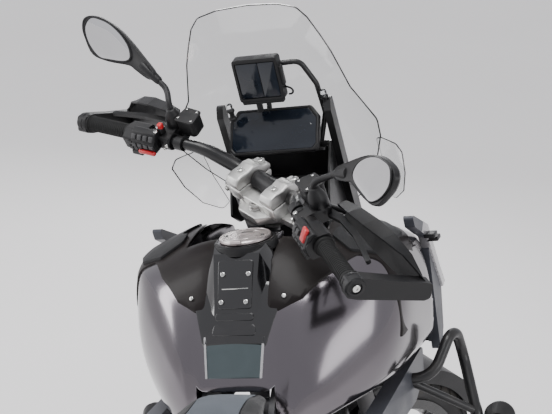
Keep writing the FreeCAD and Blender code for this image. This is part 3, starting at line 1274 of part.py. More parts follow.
def tyre_drop(placement, centre, spin, tyre_r, crown_r):
    """Height of a tyre's lowest point once placed: its crown ring's low point less the crown radius."""
    middle = placement.multVec(centre)
    way = placement.Rotation.multVec(spin)
    return middle.z - (tyre_r - crown_r) * math.sqrt(max(0.0, 1 - way.z * way.z)) - crown_r


def steer_placement(degrees):
    return FreeCAD.Placement(vec(0, 0, 0), FreeCAD.Rotation(AXIS_UP, degrees), TRAIL_POINT)


STEERED = steer_placement(-STEER_STOP_DEG)


def leaned(pitch_deg, lift):
    turn = FreeCAD.Rotation(X_AXIS, -LEAN_DEG).multiply(FreeCAD.Rotation(Y_AXIS, pitch_deg))
    return FreeCAD.Placement(vec(0, 0, lift), turn)


def parked_placement():
    """Leans the bike to the left and sets both tyres on the floor."""
    pitch = 0.0
    lift = 0.0
    for _ in range(40):
        placement = leaned(pitch, lift)
        rear = tyre_drop(placement, REAR_AXLE, Y_AXIS, REAR_TYRE_R, REAR_CROWN_R)
        steered = placement.multiply(STEERED)
        front = tyre_drop(steered, FRONT_AXLE, Y_AXIS, FRONT_TYRE_R, FRONT_CROWN_R)
        lift -= rear
        pitch += math.degrees((front - rear) / WHEELBASE)
    return leaned(pitch, lift)


PARKED = parked_placement()


def floor_point(x, y):
    """The bike-frame point that lies on the floor at stored x and y, before the part is centred."""
    return PARKED.inverse().multVec(vec(x, y, 0))


def side_foot():
    return floor_point(SIDE_FOOT_X, SIDE_FOOT_Y)


def side_stand_axis():
    """The hinge axis that carries the leg from the floor to a place along the frame."""
    down = (side_foot() - vec(*SIDE_PIVOT)).normalize()
    back = vec(-1.0, 0.22, -0.03).normalize()
    return down.cross(back).normalize(), math.degrees(down.getAngle(back))


def side_stand():
    pivot = vec(*SIDE_PIVOT)
    foot = side_foot()
    floor_up = PARKED.inverse().Rotation.multVec(Z_AXIS)
    pad = Part.makeCylinder(SIDE_FOOT_R, SIDE_FOOT_THICK, foot, floor_up)
    ankle = foot + floor_up * (SIDE_FOOT_THICK - 2)
    leg = rod(pivot, ankle, 13, 11)
    axis, _ = side_stand_axis()
    eye = Part.makeCylinder(20, 24, pivot - axis * 12, axis)
    hole = Part.makeCylinder(8 + RUNNING_GAP, 60, pivot - axis * 30, axis)
    return fuse([pad, leg, eye]).cut(hole)


def side_stand_lug():
    """The forked lug and pin on the engine's left side that carry the stand."""
    pivot = vec(*SIDE_PIVOT)
    axis, _ = side_stand_axis()
    ahead = (X_AXIS - axis * axis.x).normalize()
    turn = FreeCAD.Rotation(ahead, axis, ahead.cross(axis), "XYZ")
    fork = block(-17, 46, -24, 24, -17, 17)
    gap = block(-20, 27, -14.5, 14.5, -20, 20)
    lug = fork.cut(gap).fuse(Part.makeCylinder(8, 48, vec(0, -24, 0), Y_AXIS))
    lug.Placement = FreeCAD.Placement(pivot, turn)
    root = rod(pivot + ahead * 38, vec(pivot.x + 66, 92, pivot.z + 30), 15)
    return fuse([lug, root])


def engine_with_lugs():
    return fuse([engine_case(), side_stand_lug()])


def centre_stand():
    """A hoop of two splayed legs with feet and a tread lever, folded up under the bike."""
    pivot = vec(CENTRE_PIVOT_X, 0, CENTRE_PIVOT_Z)
    leg = bent_tube([(pivot.x, CENTRE_LEG_HALF, pivot.z), (470, CENTRE_LEG_HALF + 6, 270), (300, 132, 246)], 12, 80)
    foot = box_loft([(322, 112, 150, 224, 250), (282, 112, 152, 226, 262)], 6)
    eye = tube_y(pivot.x, pivot.z, CENTRE_LEG_HALF - 10, CENTRE_LEG_HALF + 10, 19)
    cross = rod(vec(455, -CENTRE_LEG_HALF - 8, 266), vec(455, CENTRE_LEG_HALF + 8, 266), 10)
    side = fuse([leg, foot, eye])
    tread = bent_tube([(350, 122, 252), (362, 170, 254), (330, 196, 258)], 8, 20)
    stand = fuse([side, mirrored(side), cross, tread])
    return stand.cut(tube_y(pivot.x, pivot.z, -150, 150, 8 + RUNNING_GAP))


def frame_with_lugs():
    """The main frame with the centre stand's cross pin under its pivot plates."""
    pin = tube_y(CENTRE_PIVOT_X, CENTRE_PIVOT_Z, -CENTRE_LEG_HALF - 14, CENTRE_LEG_HALF + 14, 8)
    ears = []
    for side in (1, -1):
        y0, y1 = sorted((side * FRAME_PLATE_Y, side * (FRAME_PLATE_Y + FRAME_PLATE_THICK)))
        ears.append(side_plate([(564, 360), (616, 360), (614, 284), (596, 270), (578, 276)], y0, y1, 8))
    return fuse([main_frame(), pin] + ears)


# Node name, builder and body, in the order in which they are made
NODES = (
    ("main_frame", frame_with_lugs, "chassis"),
    ("rear_frame", rear_frame, "chassis"),
    ("engine_case", engine_with_lugs, "chassis"),
    ("cylinders", cylinders, "chassis"),
    ("head_covers", head_covers, "chassis"),
    ("exhaust_headers", exhaust_headers, "chassis"),
    ("silencer", silencer, "chassis"),
    ("skid_plate", skid_plate, "chassis"),
    ("swingarm", swingarm, "chassis"),
    ("suspension", suspension, "chassis"),
    ("radiators", radiators, "chassis"),
    ("fuel_tank", fuel_tank, "chassis"),
    ("tank_covers", tank_covers, "chassis"),
    ("tank_pads", tank_pads, "chassis"),
    ("seat_rider", seat_rider, "chassis"),
    ("seat_passenger", seat_passenger, "chassis"),
    ("side_panels", side_panels, "chassis"),
    ("beak", beak, "chassis"),
    ("headlamps", headlamps, "chassis"),
    ("windscreen", windscreen, "chassis"),
    ("cockpit_bracket", cockpit_bracket, "chassis"),
    ("instruments", instruments, "chassis"),
    ("crash_bars", crash_bars, "chassis"),
    ("footrests", footrests, "chassis"),
    ("luggage_rack", luggage_rack, "chassis"),
    ("tail_unit", tail_unit, "chassis"),
    ("fuel_cap", fuel_cap, "fuel_cap"),
    ("side_stand", side_stand, "side_stand"),
    ("centre_stand", centre_stand, "centre_stand"),
    ("front_fork", front_fork, "steering"),
    ("front_axle", front_axle, "steering"),
    ("top_yoke", top_yoke, "steering"),
    ("handlebar", handlebar, "steering"),
    ("grips", grips, "steering"),
    ("hand_guards", hand_guards, "steering"),
    ("bar_controls", bar_controls, "steering"),
    ("mirrors", mirrors, "steering"),
    ("front_fender", front_fender, "steering"),
    ("front_calipers", front_calipers, "steering"),
    ("front_tyre", front_tyre, "front_wheel"),
    ("front_rim", front_rim, "front_wheel"),
    ("front_discs", front_discs, "front_wheel"),
    ("rear_tyre", rear_tyre, "rear_wheel"),
    ("rear_rim", rear_rim, "rear_wheel"),
    ("rear_disc", rear_disc, "rear_wheel"),
)
STEERED_BODIES = ("steering", "front_wheel")


# Pieces that give way where they are seated on or passed by others of the same body
TRIMS = (
    ("rear_frame", ("main_frame",)),
    ("luggage_rack", ("rear_frame",)),
    ("tail_unit", ("rear_frame", "luggage_rack")),
    ("footrests", ("rear_frame", "main_frame")),
    ("silencer", ("rear_frame",)),
    ("exhaust_headers", ("cylinders", "silencer")),
    ("skid_plate", ("engine_case",)),
    ("crash_bars", ("engine_case", "main_frame", "skid_plate", "headlamps")),
    ("side_panels", ("fuel_tank", "crash_bars", "radiators")),
    ("beak", ("headlamps",)),
    ("cockpit_bracket", ("instruments", "headlamps", "windscreen")),
    ("front_fender", ("front_fork",)),
    ("front_calipers", ("front_fork",)),
    ("hand_guards", ("handlebar", "bar_controls")),
    ("mirrors", ("bar_controls",)),
)


def trimmed(shape, cutters):
    """Each solid of a shape with the cutters taken away, without the chips that this can leave."""
    solids = []
    for solid in shape.Solids:
        near = [tool for cutter in cutters for tool in cutter.Solids if solid.BoundBox.intersect(tool.BoundBox)]
        solids.append(largest(solid.cut(near)) if near else solid)
    return Part.makeCompound(solids)


def build():
    """Every node's solids in the bike frame, upright and straight ahead, with its body."""
    shapes = {name: builder() for name, builder, _ in NODES}
    for name, cutters in TRIMS:
        shapes[name] = trimmed(shapes[name], [shapes[other] for other in cutters])
    return {name: (shapes[name], body) for name, _, body in NODES}


def body_placement(body):
    return PARKED.multiply(STEERED) if body in STEERED_BODIES else PARKED


def centring(shapes):
    """The shift that puts the parked bike's bounding box centre over the origin, on the floor."""
    bounds = FreeCAD.BoundBox()
    for shape in shapes:
        bounds.add(shape.optimalBoundingBox(False))
    return vec(-bounds.Center.x, -bounds.Center.y, -bounds.ZMin)


def parked_shapes():
    placed = {}
    for name, (shape, body) in build().items():
        moved = shape.copy()
        moved.Placement = body_placement(body).multiply(moved.Placement)
        placed[name] = moved
    shift = centring(placed.values())
    for shape in placed.values():
        shape.translate(shift)
    return placed, shift


def main():
    os.makedirs("parts", exist_ok=True)
    placed, shift = parked_shapes()
    for name, shape in placed.items():
        shape.exportStep(os.path.join("parts", name + ".step"))
    print("centred by", tuple(round(value, 3) for value in shift))


if __name__ == "__main__":
    main()
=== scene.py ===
import json
import math

import bmesh
import bpy
from mathutils import Matrix, Vector


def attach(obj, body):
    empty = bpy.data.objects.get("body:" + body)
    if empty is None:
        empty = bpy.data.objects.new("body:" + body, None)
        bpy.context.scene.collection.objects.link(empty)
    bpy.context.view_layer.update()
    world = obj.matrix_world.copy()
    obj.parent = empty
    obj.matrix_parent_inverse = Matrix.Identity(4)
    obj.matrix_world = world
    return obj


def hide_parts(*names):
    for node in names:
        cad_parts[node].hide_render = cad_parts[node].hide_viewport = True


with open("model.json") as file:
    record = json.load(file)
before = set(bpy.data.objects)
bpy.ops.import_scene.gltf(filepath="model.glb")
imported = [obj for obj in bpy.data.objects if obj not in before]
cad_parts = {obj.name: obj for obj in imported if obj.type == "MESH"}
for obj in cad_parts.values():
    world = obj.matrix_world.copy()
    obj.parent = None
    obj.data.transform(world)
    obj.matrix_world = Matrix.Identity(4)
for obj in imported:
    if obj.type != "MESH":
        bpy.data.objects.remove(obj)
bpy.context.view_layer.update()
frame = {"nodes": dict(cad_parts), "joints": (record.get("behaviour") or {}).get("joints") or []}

# Sizes in millimetres, as in the part's source. Pieces are drawn upright and straight ahead in the bike's
# own frame (x forward, y left, z up, zero under the rear axle) and moved to the parked pose at the end.
MM = 0.001
LEAN_DEG = 13.0
PITCH_DEG = 0.1298
STEER_STOP_DEG = 37.0
RAKE = math.radians(26.2)
SIDES = ((1, "left"), (-1, "right"))
AHEAD = Vector((1, 0, 0))
LEFT = Vector((0, 1, 0))
UP = Vector((0, 0, 1))
BACK = Vector((-1, 0, 0))
DOWN = Vector((0, 0, -1))
AXIS_UP = Vector((-math.sin(RAKE), 0, math.cos(RAKE)))
AXIS_FORWARD = Vector((math.cos(RAKE), 0, math.sin(RAKE)))
TRAIL_POINT = Vector((1652.8, 0, 0)) * MM
FRONT_AXLE = Vector((1534, 0, 325)) * MM
REAR_AXLE = Vector((0, 0, 318)) * MM
AXLE_FORWARD = 36.9
# The left half of the bar in the fork's frame (forward, left, up): its last bend and its end
BAR_BEND = (-18, 197, 1417)
BAR_END = (-98, 450, 1428)

joints = {joint["name"]: joint for joint in frame["joints"]}
lean = Matrix.Rotation(-math.radians(LEAN_DEG), 4, "X") @ Matrix.Rotation(-math.radians(PITCH_DEG), 4, "Y")
rear_at = Vector(joints["rear_wheel_spin"]["pos_m"])
PARKED = Matrix.Translation(rear_at - lean @ REAR_AXLE) @ lean
STEERED = (
    PARKED @ Matrix.Translation(TRAIL_POINT)
    @ Matrix.Rotation(-math.radians(STEER_STOP_DEG), 4, AXIS_UP) @ Matrix.Translation(-TRAIL_POINT)
)


def from_axes(origin, x_way, y_way, z_way):
    """The frame at an origin with the three ways given."""
    turn = Matrix((x_way, y_way, z_way)).transposed().to_4x4()
    return Matrix.Translation(origin) @ turn


FORK_FRAME = from_axes(TRAIL_POINT, AXIS_FORWARD, LEFT, AXIS_UP)
bar_out = (Vector(BAR_END) - Vector(BAR_BEND)).normalized()
bar_ahead = (AHEAD - bar_out * bar_out.x).normalized()
GRIP_FRAME = FORK_FRAME @ from_axes(Vector(BAR_END) * MM, bar_ahead, bar_out, bar_ahead.cross(bar_out))
OTHER_SIDE = Matrix.Scale(-1, 4, LEFT)


def at(x, y, z):
    """A place given in millimetres."""
    return Vector((x, y, z)) * MM


def facing(point, way):
    """A place at a point, with its z along the way given."""
    return Matrix.Translation(point) @ way.to_track_quat("Z", "Y").to_matrix().to_4x4()


def grip_pose(side):
    """The parked place of what sits in the left grip's frame, or its mirror image on the right."""
    return STEERED @ (GRIP_FRAME if side == 1 else OTHER_SIDE @ GRIP_FRAME)


# Drawing helpers

def only(piece):
    """Selects one piece and nothing else."""
    bpy.ops.object.select_all(action="DESELECT")
    piece.select_set(True)
    bpy.context.view_layer.objects.active = piece


def begin(name, first):
    """A new piece in edit mode, with one corner to draw from."""
    bpy.ops.object.select_all(action="DESELECT")
    bpy.ops.mesh.primitive_plane_add(size=0.01, location=first)
    piece = bpy.context.object
    piece.name = name
    bpy.ops.object.transform_apply(location=True, rotation=False, scale=False)
    bpy.ops.object.mode_set(mode="EDIT")
    bpy.ops.mesh.merge(type="CENTER")
    return piece


def draw(points):
    """Draws on from the last corner, one straight run after another."""
    for here, there in zip(points, points[1:]):
        bpy.ops.mesh.extrude_region_move(TRANSFORM_OT_translate={"value": there - here})


def close_up():
    """Leaves edit mode with all faces pointing outwards."""
    bpy.ops.mesh.select_all(action="SELECT")
    bpy.ops.mesh.normals_make_consistent(inside=False)
    bpy.ops.object.mode_set(mode="OBJECT")
    return bpy.context.object


def apply_modifier(piece, kind, **settings):
    """Adds a modifier with these settings and works it into the mesh."""
    only(piece)
    modifier = piece.modifiers.new(kind.lower(), kind)
    for key, value in settings.items():
        setattr(modifier, key, value)
    bpy.ops.object.modifier_apply(modifier=modifier.name)
    return piece


def soften(piece, width, segments=2, angle=35):
    """Rounds the edges sharper than the angle."""
    return apply_modifier(piece, "BEVEL", width=width * MM, segments=segments, limit_method="ANGLE",
                          angle_limit=math.radians(angle), harden_normals=False)


def smoother(piece, levels=2):
    """Rounds the whole form, with a finer mesh for each level."""
    return apply_modifier(piece, "SUBSURF", levels=levels, render_levels=levels)


def creased(piece, picked, amount):
    """Keeps picked edges sharp when the piece is smoothed; picked is asked of both ends, in millimetres."""
    only(piece)
    bpy.ops.object.mode_set(mode="EDIT")
    bpy.ops.mesh.select_mode(type="EDGE")
    bpy.ops.mesh.select_all(action="DESELECT")
    mesh = bmesh.from_edit_mesh(piece.data)
    for edge in mesh.edges:
        edge.select = all(picked(v.co / MM) for v in edge.verts)
    bmesh.update_edit_mesh(piece.data)
    bpy.ops.transform.edge_crease(value=amount)
    bpy.ops.mesh.select_mode(type="VERT")
    bpy.ops.object.mode_set(mode="OBJECT")
    return piece


def cut_by(piece, cutter, how="DIFFERENCE"):
    """Cuts a piece by another, which is used up."""
    apply_modifier(piece, "BOOLEAN", object=cutter, operation=how, solver="EXACT")
    bpy.data.objects.remove(cutter)
    return piece


def plate(name, outline, way, bevel=0.0, segments=2):
    """A flat outline drawn corner by corner, filled and pulled out to its thickness."""
    piece = begin(name, outline[0])
    draw(outline)
    bpy.ops.mesh.select_all(action="SELECT")
    bpy.ops.mesh.edge_face_add()
    bpy.ops.mesh.extrude_region_move(TRANSFORM_OT_translate={"value": way})
    close_up()
    if bevel:
        soften(piece, bevel, segments)
    return piece


def lofted(name, rings):
    """A solid drawn from its first section and pulled out from one section to the next."""
    piece = begin(name, rings[0][0])
    draw(rings[0])
    bpy.ops.mesh.select_all(action="SELECT")
    bpy.ops.mesh.edge_face_add()
    for old, new in zip(rings, rings[1:]):
        bpy.ops.mesh.extrude_region_move()
        mesh = bmesh.from_edit_mesh(piece.data)
        for corner in [v for v in mesh.verts if v.select]:
            nearest = min(range(len(old)), key=lambda i: (corner.co - old[i]).length_squared)
            corner.co = new[nearest]
        bmesh.update_edit_mesh(piece.data)
    return close_up()


def turned(name, centre, way, profile, steps=32):
    """A round piece: rows of (along, radius) from the centre, spun about the way."""
    way = way.normalized()
    across = way.orthogonal().normalized()
    points = [centre + way * along * MM + across * radius * MM for along, radius in profile]
    begin(name, points[0])
    draw(points)
    bpy.ops.mesh.select_all(action="SELECT")
    bpy.ops.mesh.spin(steps=steps, angle=math.tau, center=centre, axis=way)
    bpy.ops.mesh.select_all(action="SELECT")
    bpy.ops.mesh.remove_doubles(threshold=0.00002)
    return close_up()


def drilled(piece, centre, way, radius, length, steps=40):
    """Cuts a round hole."""
    hole = turned("hole", centre, way, [(0, 0), (0, radius), (length, radius), (length, 0)], steps)
    return cut_by(piece, hole)


def oblong(name, rows):
    """A block along x with upright oblong sections: rows of x, half width, lowest and highest height."""
    return lofted(name, [[at(x, -w, low), at(x, w, low), at(x, w, high), at(x, -w, high)]
                         for x, w, low, high in rows])


def boxed(name, centre, size, bevel, segments=2):
    """A small block with rounded edges, sizes along x, y and z."""
    bpy.ops.object.select_all(action="DESELECT")
    bpy.ops.mesh.primitive_cube_add(size=1, location=centre, scale=Vector(size) * MM)
    piece = bpy.context.object
    piece.name = name
    bpy.ops.object.transform_apply(location=True, rotation=True, scale=True)
    bpy.ops.object.mode_set(mode="EDIT")
    bpy.ops.mesh.select_all(action="SELECT")
    bpy.ops.mesh.bevel(offset=bevel * MM, segments=segments, affect="EDGES")
    return close_up()


def piped(name, points, radius, closed=False, kind="NURBS", sides=4, shares=None):
    """A round tube along the points, made a mesh; shares are of the radius, one to a point."""
    line = bpy.data.curves.new(name, "CURVE")
    line.dimensions = "3D"
    spline = line.splines.new(kind)
    spline.points.add(len(points) - 1)
    for spot, point in zip(spline.points, points):
        spot.co = (*point, 1)
    for spot, share in zip(spline.points, shares or []):
        spot.radius = share
    spline.use_cyclic_u = closed
    if kind == "NURBS":
        spline.order_u = 3
        spline.use_endpoint_u = not closed
        spline.resolution_u = 6
    line.bevel_depth = radius * MM
    line.bevel_resolution = sides
    line.use_fill_caps = not closed
    tube = bpy.data.objects.new(name, line)
    bpy.context.scene.collection.objects.link(tube)
    only(tube)
    bpy.ops.object.convert(target="MESH")
    tube = bpy.context.object
    bpy.ops.object.mode_set(mode="EDIT")
    return close_up()


def rounded(outline, radius, steps=4):
    """The outline's points with each corner rounded as far as its sides allow."""
    done = []
    count = len(outline)
    for i, corner in enumerate(outline):
        back = outline[i - 1] - corner
        ahead = outline[(i + 1) % count] - corner
        half = back.angle(ahead) / 2
        if abs(half - math.pi / 2) < 0.03:
            done.append(corner)
            continue
        reach = min(radius * MM / math.tan(half), 0.45 * min(back.length, ahead.length))
        start = corner + back.normalized() * reach
        end = corner + ahead.normalized() * reach
        for k in range(steps + 1):
            t = k / steps
            done.append(start * (1 - t) ** 2 + corner * 2 * t * (1 - t) + end * t * t)
    return done


def flowing(points, each=4):
    """A smooth closed line through the points, with some more between each pair."""
    count = len(points)
    done = []
    for i in range(count):
        a, b, c, d = points[i - 1], points[i], points[(i + 1) % count], points[(i + 2) % count]
        for k in range(each):
            t = k / each
            done.append(0.5 * (b * 2 + (c - a) * t + (a * 2 - b * 5 + c * 4 - d) * t * t
                               + (b * 3 - a - c * 3 + d) * t * t * t))
    return done


def arc_through(a, b, c, count):
    """Points on the arc from a through b to c, as (across, up) pairs."""
    ax, ay = a
    bx, by = b
    cx, cy = c
    a_square, b_square, c_square = ax * ax + ay * ay, bx * bx + by * by, cx * cx + cy * cy
    d = 2 * (ax * (by - cy) + bx * (cy - ay) + cx * (ay - by))
    ux = (a_square * (by - cy) + b_square * (cy - ay) + c_square * (ay - by)) / d
    uy = (a_square * (cx - bx) + b_square * (ax - cx) + c_square * (bx - ax)) / d
    radius = math.hypot(ax - ux, ay - uy)
    start = math.atan2(ay - uy, ax - ux)
    middle = math.atan2(by - uy, bx - ux)
    end = math.atan2(cy - uy, cx - ux)
    while middle < start:
        middle += math.tau
    while end < start:
        end += math.tau
    if middle > end:
        end -= math.tau
    return [(ux + radius * math.cos(start + (end - start) * k / count),
             uy + radius * math.sin(start + (end - start) * k / count)) for k in range(count + 1)]


def joined(name, parts):
    """Several drawn pieces made one."""
    bpy.ops.object.select_all(action="DESELECT")
    for part in parts:
        part.select_set(True)
    bpy.context.view_layer.objects.active = parts[0]
    if len(parts) > 1:
        bpy.ops.object.join()
    parts[0].name = name
    return parts[0]


def moved(piece, matrix):
    """Moves a piece's own points, and turns its faces back if the matrix mirrors them."""
    only(piece)
    piece.matrix_world = matrix @ piece.matrix_world
    bpy.ops.object.transform_apply(location=True, rotation=True, scale=True)
    if matrix.determinant() < 0:
        bpy.ops.object.mode_set(mode="EDIT")
        close_up()
    return piece


def copied(name, master, places):
    """A copy of the master with its own mesh at each place, all in one piece."""
    parts = []
    for spot in places:
        twin = master.copy()
        twin.data = master.data.copy()
        bpy.context.scene.collection.objects.link(twin)
        parts.append(moved(twin, spot))
    bpy.data.objects.remove(master)
    return joined(name, parts)


def fit(piece, pose, body, finish, angle=35, stands_for=()):
    """The last step of a piece: smooth faces, its finish, its place in the parked pose and its body."""
    only(piece)
    bpy.ops.object.shade_smooth_by_angle(angle=math.radians(angle))
    piece.data.materials.clear()
    piece.data.materials.append(finish)
    moved(piece, pose)
    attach(piece, body)
    if stands_for:
        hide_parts(*stands_for)
    return piece


# Camera and stage

# The photograph's camera in the upright bike's frame: its place, its ways, and its focal length in pixels
CAMERA_AT = (-1452.93, -999.74, 1836.53)
CAMERA_RIGHT = (0.31804, -0.93730, -0.14252)
CAMERA_AHEAD = (0.90836, 0.34431, -0.23736)
FOCAL_PIXELS = 1324.957
PHOTO_WIDTH = 552.0
SENSOR_WIDTH = 36.0
# How much brighter the floor and the sky are seen than they light: the pale background
FLOOR_GLOW = 0.66
SKY_LIGHT = 0.56
SKY_GLOW = 0.44
# Lamps: place, target, width, height and watts
LAMPS = {
    "roof_light": ((-0.6, 0.6, 4.2), (0.1, 0, 0.8), 2.6, 1.4, 95),
    "left_window": ((-0.2, 3.8, 2.2), (0.1, 0, 0.8), 1.0, 2.6, 60),
    "far_window": ((3.6, 1.2, 2.4), (0.2, 0, 0.9), 0.8, 2.6, 45),
    "right_wall": ((-1.2, -3.8, 2.0), (0.1, 0, 0.8), 2.4, 1.4, 38),
}

def set_camera():
    """The photograph's viewing angle, held against the parked bike."""
    right = Vector(CAMERA_RIGHT).normalized()
    ahead = Vector(CAMERA_AHEAD).normalized()
    up = right.cross(ahead).normalized()
    lens = bpy.data.cameras.new("viewpoint")
    lens.sensor_width = SENSOR_WIDTH
    lens.lens = SENSOR_WIDTH * FOCAL_PIXELS / PHOTO_WIDTH
    lens.clip_start = 0.05
    lens.clip_end = 200.0
    camera = bpy.data.objects.new("viewpoint", lens)
    bpy.context.scene.collection.objects.link(camera)
    camera.matrix_world = PARKED @ from_axes(at(*CAMERA_AT), right, up, -ahead)
    bpy.context.scene.camera = camera


def soft_lamp(name, place, target, width, height, watts):
    """A studio lamp with a broad face, turned to its target."""
    light = bpy.data.lights.new(name, "AREA")
    light.shape = "RECTANGLE"
    light.size = width
    light.size_y = height
    light.energy = watts
    lamp = bpy.data.objects.new(name, light)
    bpy.context.scene.collection.objects.link(lamp)
    turn = (Vector(target) - Vector(place)).to_track_quat("-Z", "Y")
    lamp.matrix_world = Matrix.Translation(Vector(place)) @ turn.to_matrix().to_4x4()


def background_rays(tree):
    """1 for the rays that show the background: the camera's own, mirrored ones and ones through glass."""
    rays = tree.nodes.new("ShaderNodeLightPath")
    seen = worked(tree, "ADD", rays.outputs["Is Camera Ray"], rays.outputs["Is Glossy Ray"])
    return worked(tree, "ADD", seen, rays.outputs["Is Transmission Ray"])


def set_floor():
    """A wide pale floor with the faintest clouding."""
    bpy.ops.object.select_all(action="DESELECT")
    bpy.ops.mesh.primitive_circle_add(vertices=96, radius=60, fill_type="NGON", location=(0, 0, -0.0008))
    floor = bpy.context.object
    floor.name = "studio_floor"
    finish = bpy.data.materials.new("studio_floor")
    finish.use_nodes = True
    tree = finish.node_tree
    shader = tree.nodes["Principled BSDF"]
    place = tree.nodes.new("ShaderNodeTexCoord")
    cloud = tree.nodes.new("ShaderNodeTexNoise")
    cloud.inputs["Scale"].default_value = 0.6
    tint = tree.nodes.new("ShaderNodeValToRGB")
    tint.color_ramp.elements[0].color = (0.76, 0.745, 0.75, 1)
    tint.color_ramp.elements[1].color = (0.80, 0.79, 0.795, 1)
    tree.links.new(place.outputs["Object"], cloud.inputs["Vector"])
    tree.links.new(cloud.outputs["Fac"], tint.inputs["Fac"])
    tree.links.new(tint.outputs["Color"], shader.inputs["Base Color"])
    shader.inputs["Roughness"].default_value = 0.75
    glow = worked(tree, "MULTIPLY", background_rays(tree), FLOOR_GLOW)
    tree.links.new(glow, shader.inputs["Emission Strength"])
    tree.links.new(tint.outputs["Color"], shader.inputs["Emission Color"])
    floor.data.materials.append(finish)


def set_stage():
    """The floor, the sky and the lamps of the plain studio."""
    set_floor()
    sky = bpy.data.worlds.new("studio")
    bpy.context.scene.world = sky
    sky.use_nodes = True
    tree = sky.node_tree
    back = tree.nodes["Background"]
    back.inputs["Color"].default_value = (0.80, 0.80, 0.84, 1)
    glow = worked(tree, "MULTIPLY", background_rays(tree), SKY_GLOW)
    tree.links.new(worked(tree, "ADD", glow, SKY_LIGHT), back.inputs["Strength"])
    for name, settings in LAMPS.items():
        soft_lamp(name, *settings)


# Shared surface effects

def shader_group(name, inputs, outputs):
    """A new node group with its named inputs and outputs."""
    tree = bpy.data.node_groups.new(name, "ShaderNodeTree")
    for label, kind, value in inputs:
        socket = tree.interface.new_socket(label, in_out="INPUT", socket_type=kind)
        if value is not None:
            socket.default_value = value
    for label, kind in outputs:
        tree.interface.new_socket(label, in_out="OUTPUT", socket_type=kind)
    return tree, tree.nodes.new("NodeGroupInput"), tree.nodes.new("NodeGroupOutput")


VECTOR = "NodeSocketVector"
NUMBER = "NodeSocketFloat"


def ranged(tree, value, low, high, to_low=0.0, to_high=1.0, smooth=True):
    """A value spread from one range to another."""
    node = tree.nodes.new("ShaderNodeMapRange")
    if smooth:
        node.interpolation_type = "SMOOTHSTEP"
    for label, number in (("From Min", low), ("From Max", high), ("To Min", to_low), ("To Max", to_high)):
        node.inputs[label].default_value = number
    tree.links.new(value, node.inputs["Value"])
    return node.outputs["Result"]


def worked(tree, operation, a, b):
    """The result of a Math node on two sockets or plain numbers."""
    node = tree.nodes.new("ShaderNodeMath")
    node.operation = operation
    node.use_clamp = operation in ("MULTIPLY", "ADD")
    for socket, value in zip(node.inputs, (a, b)):
        if isinstance(value, (int, float)):
            socket.default_value = value
        else:
            tree.links.new(value, socket)
    return node.outputs["Value"]


def make_handling_marks():
    """Broad smears and patches left by hands, rain and cleaning."""
    tree, into, out = shader_group("handling_marks", [("Place", VECTOR, None), ("Scale", NUMBER, 8.0)],
                                   [("Mask", NUMBER), ("Fine", NUMBER)])
    broad = tree.nodes.new("ShaderNodeTexNoise")
    broad.inputs["Detail"].default_value = 4.0
    broad.inputs["Distortion"].default_value = 0.8
    tree.links.new(into.outputs["Place"], broad.inputs["Vector"])
    tree.links.new(into.outputs["Scale"], broad.inputs["Scale"])
    fine = tree.nodes.new("ShaderNodeTexNoise")
    fine.inputs["Scale"].default_value = 260.0
    fine.inputs["Detail"].default_value = 2.0
    tree.links.new(into.outputs["Place"], fine.inputs["Vector"])
    tree.links.new(ranged(tree, broad.outputs["Fac"], 0.36, 0.68), out.inputs["Mask"])
    tree.links.new(fine.outputs["Fac"], out.inputs["Fine"])
    return tree


def make_surface_grain():
    """The fine texture of a moulded, cast or painted skin."""
    tree, into, out = shader_group("surface_grain", [("Place", VECTOR, None), ("Scale", NUMBER, 900.0)],
                                   [("Height", NUMBER)])
    cells = tree.nodes.new("ShaderNodeTexVoronoi")
    cells.feature = "SMOOTH_F1"
    cells.inputs["Smoothness"].default_value = 0.6
    noise = tree.nodes.new("ShaderNodeTexNoise")
    noise.inputs["Detail"].default_value = 2.0
    for node in (cells, noise):
        tree.links.new(into.outputs["Place"], node.inputs["Vector"])
        tree.links.new(into.outputs["Scale"], node.inputs["Scale"])
    both = worked(tree, "MULTIPLY", cells.outputs["Distance"], noise.outputs["Fac"])
    tree.links.new(both, out.inputs["Height"])
    return tree


def make_worn_edges():
    """Where hands and boots rub the corners brighter."""
    tree, into, out = shader_group("worn_edges", [("Place", VECTOR, None), ("Width", NUMBER, 0.0015)],
                                   [("Mask", NUMBER)])
    round_off = tree.nodes.new("ShaderNodeBevel")
    round_off.samples = 4
    tree.links.new(into.outputs["Width"], round_off.inputs["Radius"])
    shape = tree.nodes.new("ShaderNodeNewGeometry")
    dot = tree.nodes.new("ShaderNodeVectorMath")
    dot.operation = "DOT_PRODUCT"
    tree.links.new(round_off.outputs["Normal"], dot.inputs[0])
    tree.links.new(shape.outputs["Normal"], dot.inputs[1])
    edge = ranged(tree, dot.outputs["Value"], 0.99, 0.86)
    patch = tree.nodes.new("ShaderNodeTexNoise")
    patch.inputs["Scale"].default_value = 70.0
    patch.inputs["Detail"].default_value = 3.0
    tree.links.new(into.outputs["Place"], patch.inputs["Vector"])
    broken = ranged(tree, patch.outputs["Fac"], 0.35, 0.6)
    tree.links.new(worked(tree, "MULTIPLY", edge, broken), out.inputs["Mask"])
    return tree


